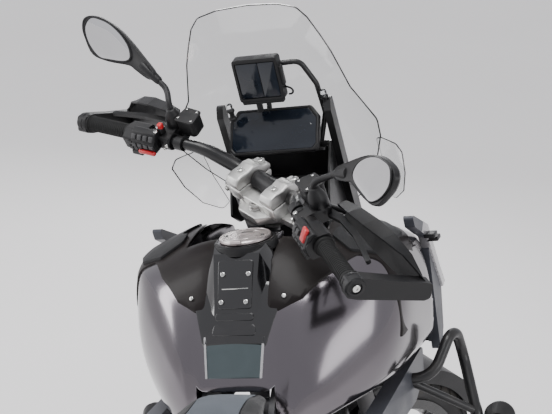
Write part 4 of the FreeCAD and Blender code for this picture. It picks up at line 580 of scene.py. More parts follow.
def make_road_dust():
    """Dust that settles on faces that look up, and in patches."""
    tree, into, out = shader_group("road_dust", [("Place", VECTOR, None), ("Scale", NUMBER, 30.0)],
                                   [("Mask", NUMBER)])
    shape = tree.nodes.new("ShaderNodeNewGeometry")
    parts = tree.nodes.new("ShaderNodeSeparateXYZ")
    tree.links.new(shape.outputs["Normal"], parts.inputs["Vector"])
    up = ranged(tree, parts.outputs["Z"], -0.2, 1.0, 0.25, 1.0)
    patch = tree.nodes.new("ShaderNodeTexNoise")
    patch.inputs["Detail"].default_value = 5.0
    tree.links.new(into.outputs["Place"], patch.inputs["Vector"])
    tree.links.new(into.outputs["Scale"], patch.inputs["Scale"])
    blotch = ranged(tree, patch.outputs["Fac"], 0.42, 0.72)
    tree.links.new(worked(tree, "MULTIPLY", up, blotch), out.inputs["Mask"])
    return tree


def make_brushed_lines():
    """Long fine scratches all in one direction, from a place already stretched along them."""
    tree, into, out = shader_group("brushed_lines", [("Place", VECTOR, None)],
                                   [("Height", NUMBER), ("Mask", NUMBER)])
    fine = tree.nodes.new("ShaderNodeTexNoise")
    fine.inputs["Scale"].default_value = 1.0
    fine.inputs["Detail"].default_value = 3.0
    wide = tree.nodes.new("ShaderNodeTexNoise")
    wide.inputs["Scale"].default_value = 0.22
    wide.inputs["Detail"].default_value = 1.0
    for node in (fine, wide):
        tree.links.new(into.outputs["Place"], node.inputs["Vector"])
    tree.links.new(fine.outputs["Fac"], out.inputs["Height"])
    both = worked(tree, "MULTIPLY", fine.outputs["Fac"], wide.outputs["Fac"])
    tree.links.new(ranged(tree, both, 0.16, 0.36), out.inputs["Mask"])
    return tree


def make_cloth_weave():
    """A tight cross weave with loose fibres."""
    tree, into, out = shader_group("cloth_weave", [("Place", VECTOR, None), ("Scale", NUMBER, 500.0)],
                                   [("Height", NUMBER), ("Mask", NUMBER)])
    waves = []
    for direction in ("X", "Y"):
        wave = tree.nodes.new("ShaderNodeTexWave")
        wave.bands_direction = direction
        wave.inputs["Distortion"].default_value = 1.2
        wave.inputs["Detail"].default_value = 1.0
        tree.links.new(into.outputs["Place"], wave.inputs["Vector"])
        tree.links.new(into.outputs["Scale"], wave.inputs["Scale"])
        waves.append(wave.outputs["Fac"])
    fibre = tree.nodes.new("ShaderNodeTexNoise")
    fibre.inputs["Scale"].default_value = 1400.0
    fibre.inputs["Detail"].default_value = 2.0
    tree.links.new(into.outputs["Place"], fibre.inputs["Vector"])
    cross = worked(tree, "MAXIMUM", waves[0], waves[1])
    tree.links.new(worked(tree, "MULTIPLY", cross, fibre.outputs["Fac"]), out.inputs["Height"])
    tree.links.new(ranged(tree, fibre.outputs["Fac"], 0.3, 0.7), out.inputs["Mask"])
    return tree


marks_group = make_handling_marks()
grain_group = make_surface_grain()
wear_group = make_worn_edges()
dust_group = make_road_dust()
brush_group = make_brushed_lines()
weave_group = make_cloth_weave()


def placed_group(tree, group, place, **numbers):
    """One of the shared effects in a material, with its own amounts."""
    node = tree.nodes.new("ShaderNodeGroup")
    node.node_tree = group
    tree.links.new(place, node.inputs["Place"])
    for label, number in numbers.items():
        node.inputs[label].default_value = number
    return node


def blended(tree, mask, a, b):
    """One colour over another by a mask; each is a socket or a plain colour."""
    node = tree.nodes.new("ShaderNodeMix")
    node.data_type = "RGBA"
    tree.links.new(mask, node.inputs[0])
    for socket, value in ((node.inputs[6], a), (node.inputs[7], b)):
        if isinstance(value, tuple):
            socket.default_value = (*value, 1)
        else:
            tree.links.new(value, socket)
    return node.outputs[2]


def skin(name, base, second, rough, metal=0.0, clear=0.0, clear_rough=0.08, grain=900.0, depth=0.25,
         marks=9.0, wear=None, dust=0.0, brush=None, height=None, colour=None, sheen=0.0, specular=0.5):
    """A finish with smears, grain, rubbed edges and dust, each in its own amount."""
    finish = bpy.data.materials.new(name)
    finish.use_nodes = True
    tree = finish.node_tree
    shader = tree.nodes["Principled BSDF"]
    place = tree.nodes.new("ShaderNodeTexCoord").outputs["Object"]
    smear = placed_group(tree, marks_group, place, Scale=marks)
    top = blended(tree, smear.outputs["Mask"], base, second) if colour is None else colour(tree, place, smear)
    gloss = ranged(tree, smear.outputs["Mask"], 0.0, 1.0, rough[0], rough[1], smooth=False)
    tall = None
    if brush:
        stretch = tree.nodes.new("ShaderNodeMapping")
        stretch.inputs["Rotation"].default_value = brush[1]
        stretch.inputs["Scale"].default_value = brush[0]
        tree.links.new(place, stretch.inputs["Vector"])
        lines = placed_group(tree, brush_group, stretch.outputs["Vector"])
        tall = lines.outputs["Height"]
        gloss = worked(tree, "ADD", gloss, worked(tree, "MULTIPLY", lines.outputs["Mask"], 0.10))
        shade = tuple(c * 0.72 for c in base)
        top = blended(tree, worked(tree, "MULTIPLY", lines.outputs["Mask"], 0.5), top, shade)
    elif height is not None:
        tall = height(tree, place)
    else:
        tall = placed_group(tree, grain_group, place, Scale=grain).outputs["Height"]
    if wear:
        rub = placed_group(tree, wear_group, place, Width=wear[2] * MM)
        amount = worked(tree, "MULTIPLY", rub.outputs["Mask"], wear[1])
        top = blended(tree, amount, top, wear[0])
    if dust:
        settled = placed_group(tree, dust_group, place, Scale=26.0)
        amount = worked(tree, "MULTIPLY", settled.outputs["Mask"], dust)
        top = blended(tree, amount, top, (0.23, 0.20, 0.17))
        gloss = worked(tree, "ADD", gloss, worked(tree, "MULTIPLY", amount, 0.5))
    tree.links.new(top, shader.inputs["Base Color"])
    tree.links.new(gloss, shader.inputs["Roughness"])
    bump = tree.nodes.new("ShaderNodeBump")
    bump.inputs["Strength"].default_value = depth
    bump.inputs["Distance"].default_value = 0.0006
    tree.links.new(tall, bump.inputs["Height"])
    tree.links.new(bump.outputs["Normal"], shader.inputs["Normal"])
    shader.inputs["Metallic"].default_value = metal
    shader.inputs["Coat Weight"].default_value = clear
    shader.inputs["Coat Roughness"].default_value = clear_rough
    shader.inputs["Specular IOR Level"].default_value = specular
    shader.inputs["Sheen Weight"].default_value = sheen
    shader.inputs["Sheen Roughness"].default_value = 0.5
    return finish


CLEAR_PLASTIC_IOR = 1.49


def see_through(name, tint, rough, height=None, depth=0.2):
    """A clear sheet or lens with faint smears."""
    finish = bpy.data.materials.new(name)
    finish.use_nodes = True
    tree = finish.node_tree
    shader = tree.nodes["Principled BSDF"]
    place = tree.nodes.new("ShaderNodeTexCoord").outputs["Object"]
    smear = placed_group(tree, marks_group, place, Scale=7.0)
    tree.links.new(blended(tree, smear.outputs["Mask"], tint, tuple(c * 0.985 for c in tint)),
                   shader.inputs["Base Color"])
    tree.links.new(ranged(tree, smear.outputs["Mask"], 0.0, 1.0, rough[0], rough[1], smooth=False),
                   shader.inputs["Roughness"])
    if height is not None:
        bump = tree.nodes.new("ShaderNodeBump")
        bump.inputs["Strength"].default_value = depth
        bump.inputs["Distance"].default_value = 0.001
        tree.links.new(height(tree, place), bump.inputs["Height"])
        tree.links.new(bump.outputs["Normal"], shader.inputs["Normal"])
    shader.inputs["Transmission Weight"].default_value = 1.0
    shader.inputs["IOR"].default_value = CLEAR_PLASTIC_IOR
    return finish


def rain_drops(tree, place):
    """Round drops of several sizes, far apart."""
    cells = tree.nodes.new("ShaderNodeTexVoronoi")
    cells.inputs["Scale"].default_value = 62.0
    tree.links.new(place, cells.inputs["Vector"])
    drop = ranged(tree, cells.outputs["Distance"], 0.36, 0.06)
    pick = tree.nodes.new("ShaderNodeSeparateColor")
    tree.links.new(cells.outputs["Color"], pick.inputs["Color"])
    some = ranged(tree, pick.outputs["Red"], 0.52, 0.75)
    return worked(tree, "MULTIPLY", drop, some)


def lens_ribs(tree, place):
    """The upright ribs moulded in a lamp's front."""
    ribs = tree.nodes.new("ShaderNodeTexWave")
    ribs.bands_direction = "Y"
    ribs.inputs["Scale"].default_value = 60.0
    tree.links.new(place, ribs.inputs["Vector"])
    return ribs.outputs["Fac"]


def suede_height(tree, place):
    return placed_group(tree, weave_group, place, Scale=420.0).outputs["Height"]


def seat_colours(tree, place, smear):
    """The blue-grey strip between the black sides, by how far across the seat a point lies."""
    across = tree.nodes.new("ShaderNodeAttribute")
    across.attribute_name = "across"
    strip = ranged(tree, across.outputs["Fac"], 1.012, 0.988)
    weave = placed_group(tree, weave_group, place, Scale=420.0)
    grey = blended(tree, weave.outputs["Mask"], (0.085, 0.100, 0.122), (0.125, 0.145, 0.172))
    grey = blended(tree, worked(tree, "MULTIPLY", smear.outputs["Mask"], 0.5), grey, (0.07, 0.083, 0.10))
    black = blended(tree, weave.outputs["Mask"], (0.010, 0.010, 0.011), (0.024, 0.024, 0.026))
    return blended(tree, strip, black, grey)


# Each finish: its name, base colour and second colour, then its roughness in clean and smeared patches
frame_grey = skin(
    "satin_frame_paint", (0.045, 0.045, 0.05), (0.06, 0.06, 0.065), (0.36, 0.5), clear=0.2,
    wear=((0.22, 0.22, 0.23), 0.5, 1.2), dust=0.25,
)
engine_grey = skin(
    "cast_engine_grey", (0.10, 0.10, 0.105), (0.135, 0.135, 0.14), (0.42, 0.58), metal=0.6, grain=700.0,
    depth=0.6, wear=((0.42, 0.42, 0.42), 0.6, 1.4), dust=0.4,
)
cylinder_alu = skin(
    "blasted_cylinder", (0.30, 0.30, 0.31), (0.38, 0.38, 0.39), (0.40, 0.55), metal=0.9, grain=900.0,
    depth=0.55, wear=((0.6, 0.6, 0.6), 0.5, 1.0), dust=0.35,
)
cast_silver = skin(
    "cast_silver", (0.50, 0.495, 0.48), (0.60, 0.595, 0.58), (0.30, 0.44), metal=0.9, grain=800.0,
    depth=0.35, wear=((0.82, 0.82, 0.80), 0.5, 1.0),
)
tank_alu = skin(
    "tank_metal", (0.140, 0.127, 0.140), (0.156, 0.143, 0.156), (0.14, 0.19), metal=1.0, clear=0.5,
    clear_rough=0.04, grain=1800.0, depth=0.03, marks=3.0, wear=((0.62, 0.60, 0.63), 0.6, 1.6),
)
cover_plastic = skin(
    "cover_brown_black", (0.014, 0.011, 0.011), (0.020, 0.017, 0.016), (0.34, 0.44), grain=1500.0,
    depth=0.08, clear=0.05, clear_rough=0.12, wear=((0.12, 0.115, 0.115), 0.5, 0.8), specular=0.14,
)
ridge_teal = skin(
    "ridge_blue_grey", (0.085, 0.112, 0.118), (0.10, 0.130, 0.136), (0.16, 0.24), metal=0.85,
    grain=1500.0, depth=0.03, clear=0.5, clear_rough=0.05,
)
pad_rubber = skin(
    "shoulder_pad_rubber", (0.009, 0.009, 0.010), (0.016, 0.016, 0.017), (0.50, 0.66), grain=420.0,
    depth=0.6, specular=0.35,
)
black_plastic = skin(
    "grained_black_plastic", (0.008, 0.008, 0.009), (0.014, 0.014, 0.015), (0.36, 0.52), grain=1300.0,
    depth=0.25, wear=((0.07, 0.07, 0.07), 0.4, 0.8), dust=0.04, specular=0.35,
)
gloss_black = skin(
    "gloss_black_panel", (0.005, 0.005, 0.006), (0.009, 0.008, 0.009), (0.14, 0.24), clear=0.8,
    clear_rough=0.04, grain=1500.0, depth=0.03,
)
clear_sheet = see_through("clear_screen_sheet", (0.965, 0.972, 0.972), (0.0, 0.035))
lamp_glass = see_through("lamp_lens", (0.93, 0.94, 0.95), (0.01, 0.05), height=lens_ribs, depth=0.15)
tail_red = skin(
    "tail_lens_red", (0.30, 0.006, 0.005), (0.40, 0.012, 0.008), (0.06, 0.14), clear=1.0,
    height=lens_ribs, depth=0.4,
)
turn_amber = skin(
    "turn_lens_amber", (0.72, 0.24, 0.02), (0.80, 0.30, 0.03), (0.08, 0.16), clear=1.0, height=lens_ribs,
    depth=0.4,
)
reflector = skin("lamp_reflector", (0.82, 0.82, 0.82), (0.9, 0.9, 0.9), (0.06, 0.14), metal=1.0, depth=0.03)
screen_glass = skin(
    "wet_display_glass", (0.010, 0.014, 0.022), (0.016, 0.021, 0.031), (0.08, 0.18), clear=0.4,
    clear_rough=0.05, height=rain_drops, depth=0.9, specular=0.35,
)
steel_brushed = skin(
    "brushed_steel", (0.46, 0.455, 0.44), (0.54, 0.53, 0.52), (0.24, 0.36), metal=1.0,
    brush=((40.0, 700.0, 700.0), (0.2, 0, 0)), depth=0.12, wear=((0.8, 0.8, 0.78), 0.4, 1.0), dust=0.2,
)
bolt_steel = skin(
    "bolt_steel", (0.60, 0.60, 0.58), (0.72, 0.72, 0.70), (0.16, 0.28), metal=1.0, grain=1600.0,
    depth=0.08,
)
steel_black = skin(
    "black_powder_coat", (0.008, 0.008, 0.009), (0.014, 0.014, 0.015), (0.30, 0.44), clear=0.25,
    grain=1100.0, depth=0.3, wear=((0.14, 0.14, 0.14), 0.4, 1.2), dust=0.08, specular=0.4,
)
grip_rubber = skin(
    "grip_rubber", (0.008, 0.008, 0.008), (0.014, 0.014, 0.014), (0.60, 0.78), grain=700.0, depth=0.5,
    specular=0.3,
)
tyre_rubber = skin(
    "tyre_rubber", (0.016, 0.016, 0.017), (0.028, 0.027, 0.027), (0.62, 0.82), grain=500.0, depth=0.5,
    dust=0.55,
)
rim_black = skin(
    "black_rim", (0.010, 0.010, 0.011), (0.017, 0.017, 0.018), (0.22, 0.34), metal=0.3, clear=0.5,
    wear=((0.35, 0.35, 0.35), 0.4, 1.0), dust=0.3,
)
disc_steel = skin(
    "ground_disc_steel", (0.42, 0.415, 0.41), (0.50, 0.49, 0.48), (0.20, 0.34), metal=1.0,
    brush=((60.0, 60.0, 900.0), (0, 0, 0)), depth=0.15, dust=0.1,
)
paint_silver = skin(
    "pale_silver_paint", (0.52, 0.51, 0.52), (0.60, 0.59, 0.60), (0.24, 0.34), metal=0.6, clear=0.7,
    grain=1800.0, depth=0.08, wear=((0.75, 0.75, 0.75), 0.3, 0.8),
)
side_grey = skin(
    "blue_grey_side_cover", (0.060, 0.064, 0.078), (0.082, 0.086, 0.102), (0.38, 0.52), grain=1200.0,
    depth=0.25, clear=0.1,
)
cap_metal = skin(
    "fuel_cap_metal", (0.56, 0.50, 0.49), (0.66, 0.60, 0.58), (0.26, 0.38), metal=0.85, grain=1400.0,
    depth=0.12, wear=((0.85, 0.8, 0.78), 0.4, 0.8),
)
mirror_face = skin(
    "mirror_face", (0.70, 0.70, 0.71), (0.74, 0.74, 0.75), (0.015, 0.05), metal=1.0, depth=0.01,
)
switch_red = skin(
    "switch_red", (0.62, 0.012, 0.018), (0.70, 0.02, 0.026), (0.28, 0.4), clear=0.4, depth=0.1,
)
key_grey = skin("switch_key", (0.035, 0.035, 0.036), (0.06, 0.06, 0.062), (0.45, 0.6), depth=0.25)
spring_grey = skin(
    "spring_paint", (0.035, 0.037, 0.040), (0.05, 0.05, 0.055), (0.28, 0.4), clear=0.4, dust=0.3,
    wear=((0.4, 0.4, 0.4), 0.4, 1.0),
)
seat_cloth = skin(
    "seat_suede", None, None, (0.72, 0.88), colour=seat_colours, height=suede_height, depth=0.5,
    sheen=0.35, specular=0.3,
)
plate_white = skin(
    "blank_plate", (0.66, 0.66, 0.64), (0.72, 0.72, 0.70), (0.34, 0.46), depth=0.08, dust=0.2,
)

NODE_FINISH = {
    "main_frame": frame_grey, "rear_frame": frame_grey, "engine_case": engine_grey, "cylinders": cylinder_alu,
    "head_covers": cylinder_alu, "exhaust_headers": steel_brushed, "silencer": steel_brushed,
    "skid_plate": steel_brushed, "swingarm": engine_grey, "suspension": spring_grey,
    "radiators": black_plastic, "fuel_tank": tank_alu, "tank_covers": cover_plastic, "tank_pads": pad_rubber,
    "seat_rider": seat_cloth, "seat_passenger": seat_cloth, "side_panels": side_grey, "beak": paint_silver,
    "headlamps": black_plastic, "windscreen": clear_sheet, "cockpit_bracket": steel_black,
    "instruments": black_plastic, "crash_bars": steel_black, "footrests": steel_black,
    "luggage_rack": steel_black, "tail_unit": black_plastic, "fuel_cap": cap_metal, "side_stand": steel_black,
    "centre_stand": steel_black, "front_fork": engine_grey, "front_axle": steel_brushed,
    "top_yoke": cast_silver, "handlebar": steel_black, "grips": grip_rubber, "hand_guards": black_plastic,
    "bar_controls": black_plastic, "mirrors": black_plastic, "front_fender": black_plastic,
    "front_calipers": engine_grey, "front_tyre": tyre_rubber, "front_rim": rim_black,
    "front_discs": disc_steel, "rear_tyre": tyre_rubber, "rear_rim": rim_black, "rear_disc": disc_steel,
}


def dress_nodes():
    """Gives every node of the frame its finish."""
    for name, node in frame["nodes"].items():
        finish = NODE_FINISH[name]
        if not node.data.materials:
            node.data.materials.append(finish)
        for i in range(len(node.data.materials)):
            node.data.materials[i] = finish


# Tank, covers and cap

# Rows of the tank: x, then (y, z) of its lower edge, bulge, shoulder and crest, and its middle's height
TANK_SECTIONS = (
    (802.0, (95, 775), (110, 800), (106, 832), (66, 880), 882),
    (828.0, (132, 777), (150, 846), (120, 914), (70, 938), 941),
    (850.0, (160, 778), (178, 850), (127, 958), (70, 985), 990),
    (900.0, (198, 780), (224, 870), (150, 1032), (78, 1058), 1064),
    (960.0, (232, 785), (274, 900), (215, 1068), (80, 1116), 1120),
    (1035.0, (262, 788), (302, 930), (297, 1066), (104, 1138), 1131),
    (1150.0, (284, 788), (304, 930), (294, 1080), (150, 1138), 1131),
    (1298.0, (290, 782), (302, 900), (282, 1036), (186, 1082), 1080),
)
# Seen from above: the left cover, the left shoulder pad, and the bolts on a cover
COVER_OUTLINE = (
    (874, 68), (876, 90), (900, 136), (956, 190), (1014, 226), (1024, 296), (1180, 296), (1250, 250),
    (1200, 176), (1120, 150), (1062, 108), (1010, 70), (940, 66),
)
PAD_OUTLINE = (
    (1034, 268), (1012, 212), (1040, 168), (1080, 172), (1104, 196), (1160, 178), (1205, 190), (1218, 236),
    (1170, 280), (1070, 284),
)
COVER_BOLTS = ((893, 100), (1006, 240))
# Centre panel: the side view (x, z) of its top face and of its two lower edges, and the half width of each
PANEL_TOP_LINE = ((836, 946), (842, 972), (858, 996), (874, 1034), (922, 1124), (948, 1135), (960, 1135))
PANEL_EDGE_LINE = ((836, 934), (844, 950), (862, 982), (880, 1012), (922, 1066), (950, 1092), (960, 1096))
PANEL_TOP_HALF = (46, 56, 46, 44, 50, 56, 58)
PANEL_EDGE_HALF = (56, 70, 76, 76, 76, 72, 72)
# What stands proud of its face: low and high edge heights, half widths there, and how far it stands out
PANEL_RAISED = ((1024, 1112, 36, 38, 3.0), (1002, 1016, 41, 41, 3.6), (976, 995, 48, 44, 3.2))
PANEL_BOLTS = ((1036, 27), (1036, -26), (1086, 26), (1086, -30))
PANEL_BAR_Z = 1060
# The black flare under the centre panel, the strip between it and the seat, and the pale strip on its left, a
# painted highlight along the ridge's edge
FLARE_OUTLINE = ((837, 68), (876, 88), (908, 88), (908, -88), (876, -88), (837, -68))
RIDGE_OUTLINE = ((803, 56), (846, 62), (846, -62), (803, -56))
RIDGE_HIGHLIGHT = ((803, 55), (844, 61), (844, 65.5), (803, 59.5))
# The hollow under the tank, seen from the side, and the room that each fork leg and the yoke sweep
TUNNEL_OUTLINE = ((780, 700), (780, 846), (880, 968), (1060, 1000), (1060, 700))
TUNNEL_HALF = 84
LEG_ROOM_OUTLINE = ((1004, 1150), (1004, 1400), (1420, 1400), (1420, 600), (1042, 600), (1042, 1010))
HEAD_ROOM_CORNERS = ((1052, -60), (1420, -60), (1420, 60), (1052, 60))
CAP_X = 983.0
CAP_RING_TOP = 1137.0
CAP_WELL_R = 62
# Half sections of the cap's round pieces: along and radius
LID_PROFILE = (
    (0, 0), (0, 52), (1.5, 54), (5.6, 54), (7.2, 52.6), (7.2, 50), (6.4, 49.4), (6.4, 47.6), (7.4, 47),
    (7.8, 33), (7.1, 32.4), (7.1, 31.2), (7.9, 30.6), (8.0, 0),
)
LID_SCREW_PROFILE = ((0, 0), (0, 4.2), (1.0, 4.2), (1.6, 3.4), (1.2, 1.6), (1.2, 0))
HINGE_PROFILE = ((0, 0), (0, 3.4), (1, 4), (23, 4), (24, 3.4), (24, 0))
CAP_RING_PROFILE = (
    (0, 55.5), (0, 66), (15, 66), (17, 65), (17.4, 62), (19.2, 61.4), (19.6, 58), (18.6, 56.6), (16, 55.5),
    (0, 55.5),
)
THROAT_PROFILE = ((0, 0), (0, 60), (44, 60), (45, 59), (45, 37), (44, 36), (8, 36), (8, 0))
# Corners of the lid's key flap and of the slot in it, from the lid's middle
FLAP_CORNERS = ((2, -17), (28, -15), (28, 15), (2, 17))
KEY_SLOT_CORNERS = ((12, -13), (17, -13), (17, 13), (12, 13))


def tank_ring(x, low, bulge, shoulder, crest, top):
    """One section of the tank: round flanks, straight shoulders and a nearly flat crown."""
    side = arc_through(low, bulge, shoulder, 6)
    share = [(t, shoulder, crest) for t in (0.14, 0.5, 0.88)] + [(t, crest, (0, top)) for t in (0.16, 0.6)]
    half = side[:-1] + [(side[-1][0] * 0.9 + side[-2][0] * 0.1, side[-1][1] * 0.9 + side[-2][1] * 0.1)]
    half += [(a[0] * (1 - t) + b[0] * t, a[1] * (1 - t) + b[1] * t) for t, a, b in share]
    ring = [at(x, y, z) for y, z in half] + [at(x, 0, top)]
    ring += [at(x, -y, z) for y, z in reversed(half)]
    return ring


def tank_form(name, fatten=0.0):
    """The whole outer form of the tank, from a coarse cage smoothed twice."""
    rows = [tank_ring(*row) for row in TANK_SECTIONS]
    first = [a.lerp(b, 0.12) for a, b in zip(rows[0], rows[1])]
    last = [a.lerp(b, 0.05) for a, b in zip(rows[-1], rows[-2])]
    cage = lofted(name, [rows[0], first] + rows[1:-1] + [last, rows[-1]])
    fold_x = TANK_SECTIONS[1][0]
    piece = smoother(creased(cage, lambda p: abs(p.x - fold_x) < 1 and p.z > 905, 0.7))
    if fatten:
        only(piece)
        bpy.ops.object.mode_set(mode="EDIT")
        bpy.ops.mesh.select_all(action="SELECT")
        bpy.ops.transform.shrink_fatten(value=fatten * MM)
        bpy.ops.object.mode_set(mode="OBJECT")
    return piece


def cut_steering_room(piece):
    """Leaves the space that the fork legs, the yoke and the head tube sweep."""
    for side in (1, -1):
        leg = plate("room", [at(x, side * 58, z) for x, z in LEG_ROOM_OUTLINE], at(0, side * 92, 0))
        cut_by(piece, leg)
    head = plate("room", [at(x, y, 600) for x, y in HEAD_ROOM_CORNERS], at(0, 0, 800))
    return cut_by(piece, head)


def standing_prism(outline):
    """An outline seen from above, as a block right through the tank."""
    points = rounded([at(x, y, 900) for x, y in outline], 8)
    return plate("outline", points, at(0, 0, 400))


def tank_panel(name, outline, proud, sunk, bevel):
    """A panel that follows the tank's form inside an outline seen from above."""
    piece = tank_form(name, proud)
    cut_by(piece, standing_prism(outline), "INTERSECT")
    cut_by(piece, tank_form("under", sunk))
    cut_steering_room(piece)
    return soften(piece, bevel, 2, 50)


def surface_under(piece, x, y):
    """The point and normal of a piece's surface under a place seen from above."""
    _, point, normal, _ = piece.ray_cast(at(x, y, 1400), DOWN)
    return point, normal


def make_tank():
    """The tank's skin with its tunnel and filler well, and the covers, pads, flare and ridge on it."""
    tank = tank_form("tank_shell")
    cut_steering_room(tank)
    side_view = [at(x, -TUNNEL_HALF, z) for x, z in TUNNEL_OUTLINE]
    cut_by(tank, plate("tunnel", side_view, at(0, 2 * TUNNEL_HALF, 0)))
    drilled(tank, at(CAP_X, 0, 1100), UP, CAP_WELL_R, 200, 48)
    soften(tank, 1.2, 2, 55)
    spots = []
    for side, name in SIDES:
        outline = [(x, side * y) for x, y in COVER_OUTLINE]
        cover = tank_panel("tank_cover_" + name, outline, 3.0, -4.0, 1.2)
        for x, y in COVER_BOLTS:
            spots.append(facing(*surface_under(cover, x, side * y)))
        fit(cover, PARKED, "chassis", cover_plastic, 40)
        if side == 1:
            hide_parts("tank_covers")
        pad = tank_panel("shoulder_pad_" + name, [(x, side * y) for x, y in PAD_OUTLINE], 9.0, 1.0, 2.5)
        fit(pad, PARKED, "chassis", pad_rubber, 50)
        if side == 1:
            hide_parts("tank_pads")
    flare = tank_panel("panel_flare", FLARE_OUTLINE, 2.6, -3.0, 1.0)
    fit(flare, PARKED, "chassis", gloss_black, 40)
    ridge = tank_panel("tank_ridge", RIDGE_OUTLINE, 1.0, -3.0, 0.6)
    fit(ridge, PARKED, "chassis", ridge_teal, 40)
    # A thin pale silver strip along each edge of the ridge: a painted highlight where the edge catches the
    # light
    for side, name in SIDES:
        rim = tank_panel("ridge_highlight_" + name, [(x, side * y) for x, y in RIDGE_HIGHLIGHT], 2.6, -2.0, 0.9)
        fit(rim, PARKED, "chassis", paint_silver, 50)
    fit(tank, PARKED, "chassis", tank_alu, 40, ("fuel_tank",))
    bolts = copied("cover_bolts", socket_bolt("cover_bolt", 4.6, 3.0), spots)
    fit(bolts, PARKED, "chassis", bolt_steel)


def panel_face(z):
    """The middle of the centre panel's face at a height, and the way out of the face there."""
    for (x0, z0), (x1, z1) in zip(PANEL_TOP_LINE, PANEL_TOP_LINE[1:]):
        if z0 <= z <= z1:
            slope = Vector((x1 - x0, 0, z1 - z0)).normalized()
            break
    return at(x0 + (x1 - x0) * (z - z0) / (z1 - z0), 0, z), Vector((-slope.z, 0, slope.x))


# Front strips, lamps and plate. The strip's side view (x, z), and its fins' first corner and size
SIDE_STRIP = (
    (1262, 1076), (1300, 1058), (1356, 956), (1394, 896), (1370, 890), (1334, 948), (1284, 1034),
    (1240, 1058),
)
STRIP_GROWTH = 0.0012
FIN_CORNER = (1289, 1021)
FIN_LENGTH = 30
FIN_HEIGHT = 10
FIN_STEP = (-26, 15)
# Rows of x, half width, lowest and highest height
HEADLAMP_FRONT = ((1432, 88.5, 929, 1045), (1441.4, 81.5, 936.5, 1037.5), (1444, 79, 939, 1035))
TAIL_FRONT = ((-119, 47, 883, 907), (-133, 42.6, 883.4, 906.6), (-134.4, 41, 885.2, 904.8))
# Height and radius of the headlamp's bowls on each side
BOWLS = ((1008, 27), (959, 17))
AUX_LENS_PROFILE = ((0, 0), (0, 31), (1.4, 31), (2.6, 28), (3.2, 14), (3.4, 0))
PLATE_CORNERS = ((-390.4, -90, 702), (-390.4, 90, 702), (-345.0, 90, 526), (-345.0, -90, 526))


def make_side_strips():
    """The pale strip down each side of the front, with two black fins on it."""
    for side, name in SIDES:
        outline = [at(x, side * 282.4, z) for x, z in SIDE_STRIP]
        middle = sum(outline, Vector()) / len(outline)
        grown = [p + (p - middle).normalized() * STRIP_GROWTH for p in outline]
        strip = plate("side_strip_" + name, grown, at(0, side * 23.6, 0), 2.0, 3)
        fit(strip, PARKED, "chassis", paint_silver, 35)
        fins = []
        for i in range(2):
            x, z = FIN_CORNER[0] + FIN_STEP[0] * i, FIN_CORNER[1] + FIN_STEP[1] * i
            corners = [at(x + dx, side * 301, z + dz)
                       for dx, dz in ((0, 0), (FIN_LENGTH, 0), (FIN_LENGTH, FIN_HEIGHT), (0, FIN_HEIGHT))]
            fins.append(plate("fin", corners, at(0, side * 25.4, 0), 2.4, 3))
        fit(joined("side_fins_" + name, fins), PARKED, "chassis", black_plastic, 40)


def bowl_profile(size):
    """A shallow bright bowl with a raised rim and a small boss."""
    return [(0, 0), (0, size), (1.6, size), (2.2, size - 2), (0.8, size - 4), (0.4, size * 0.4),
            (1.8, size * 0.3), (2.2, 0)]


def make_lamps():
    """Bright bowls behind the headlamp's clear front, fronts on the small lamps, and the blank plate."""
    bowls = [turned("bowl", at(1440.2, y, z), AHEAD, bowl_profile(size), 32)
             for y in (-42, 42) for z, size in BOWLS]
    fit(joined("headlamp_bowls", bowls), PARKED, "chassis", reflector, 30)
    front = soften(oblong("headlamp_front", HEADLAMP_FRONT), 1.0, 2, 20)
    fit(front, PARKED, "chassis", clear_sheet, 8)
    for side, name in SIDES:
        lamp = turned("aux_front_" + name, at(1281.4, side * 424, 612), AHEAD, AUX_LENS_PROFILE, 36)
        fit(lamp, PARKED, "chassis", lamp_glass, 30)
        turn = boxed("turn_front_" + name, at(-322, side * 150, 676), (34, 46, 25.6), 5.0, 3)
        fit(turn, PARKED, "chassis", turn_amber, 40)
    tail = soften(oblong("tail_front", TAIL_FRONT), 1.6, 2, 20)
    fit(tail, PARKED, "chassis", tail_red, 35)
    outline = rounded([at(*corner) for corner in PLATE_CORNERS], 8)
    sheet = plate("plate_sheet", outline, at(-1.2, 0, -0.3), 0.4)
    fit(sheet, PARKED, "chassis", plate_white, 35)


def make_centre_panel():
    """The sloping panel with flared walls, a bolted plate with a bright bar, and two rounded steps below."""
    across = LEFT * MM
    rings = []
    for top, half, low, low_half in zip(PANEL_TOP_LINE, PANEL_TOP_HALF, PANEL_EDGE_LINE, PANEL_EDGE_HALF):
        top, low = at(top[0], 0, top[1]), at(low[0], 0, low[1])
        root = low + (low - top).normalized() * 0.016
        rings.append([
            low - across * low_half, top - across * half, top + across * half, low + across * low_half,
            root + across * low_half, root - across * low_half,
        ])
    panel = lofted("centre_panel", rings)
    drilled(panel, at(CAP_X, 0, 1050), UP, CAP_WELL_R + 4, 200, 48)
    soften(panel, 3.0, 3, 18)
    raised = []
    for z0, z1, half, high_half, proud in PANEL_RAISED:
        (low, out), (high, _) = panel_face(z0), panel_face(z1)
        corners = [
            low - across * half, low + across * half, high + across * high_half, high - across * high_half,
        ]
        sunk = [corner - out * 0.004 for corner in rounded(corners, 7)]
        raised.append(plate("step", sunk, out * (0.004 + proud * MM), 1.4, 3))
    panel = joined("centre_panel", [panel] + raised)
    fit(panel, PARKED, "chassis", gloss_black, 40)
    plate_proud = PANEL_RAISED[0][4] * MM
    places = []
    for z, y in PANEL_BOLTS:
        spot, out = panel_face(z)
        places.append(facing(spot + across * y + out * plate_proud, out))
    bolts = copied("panel_bolts", socket_bolt("panel_bolt", 4.8, 3.0), places)
    fit(bolts, PARKED, "chassis", bolt_steel)
    spot, out = panel_face(PANEL_BAR_Z)
    bar = boxed("panel_bar", spot - across + out * plate_proud, (2.2, 57, 2.2), 0.6)
    fit(bar, PARKED, "chassis", bolt_steel)


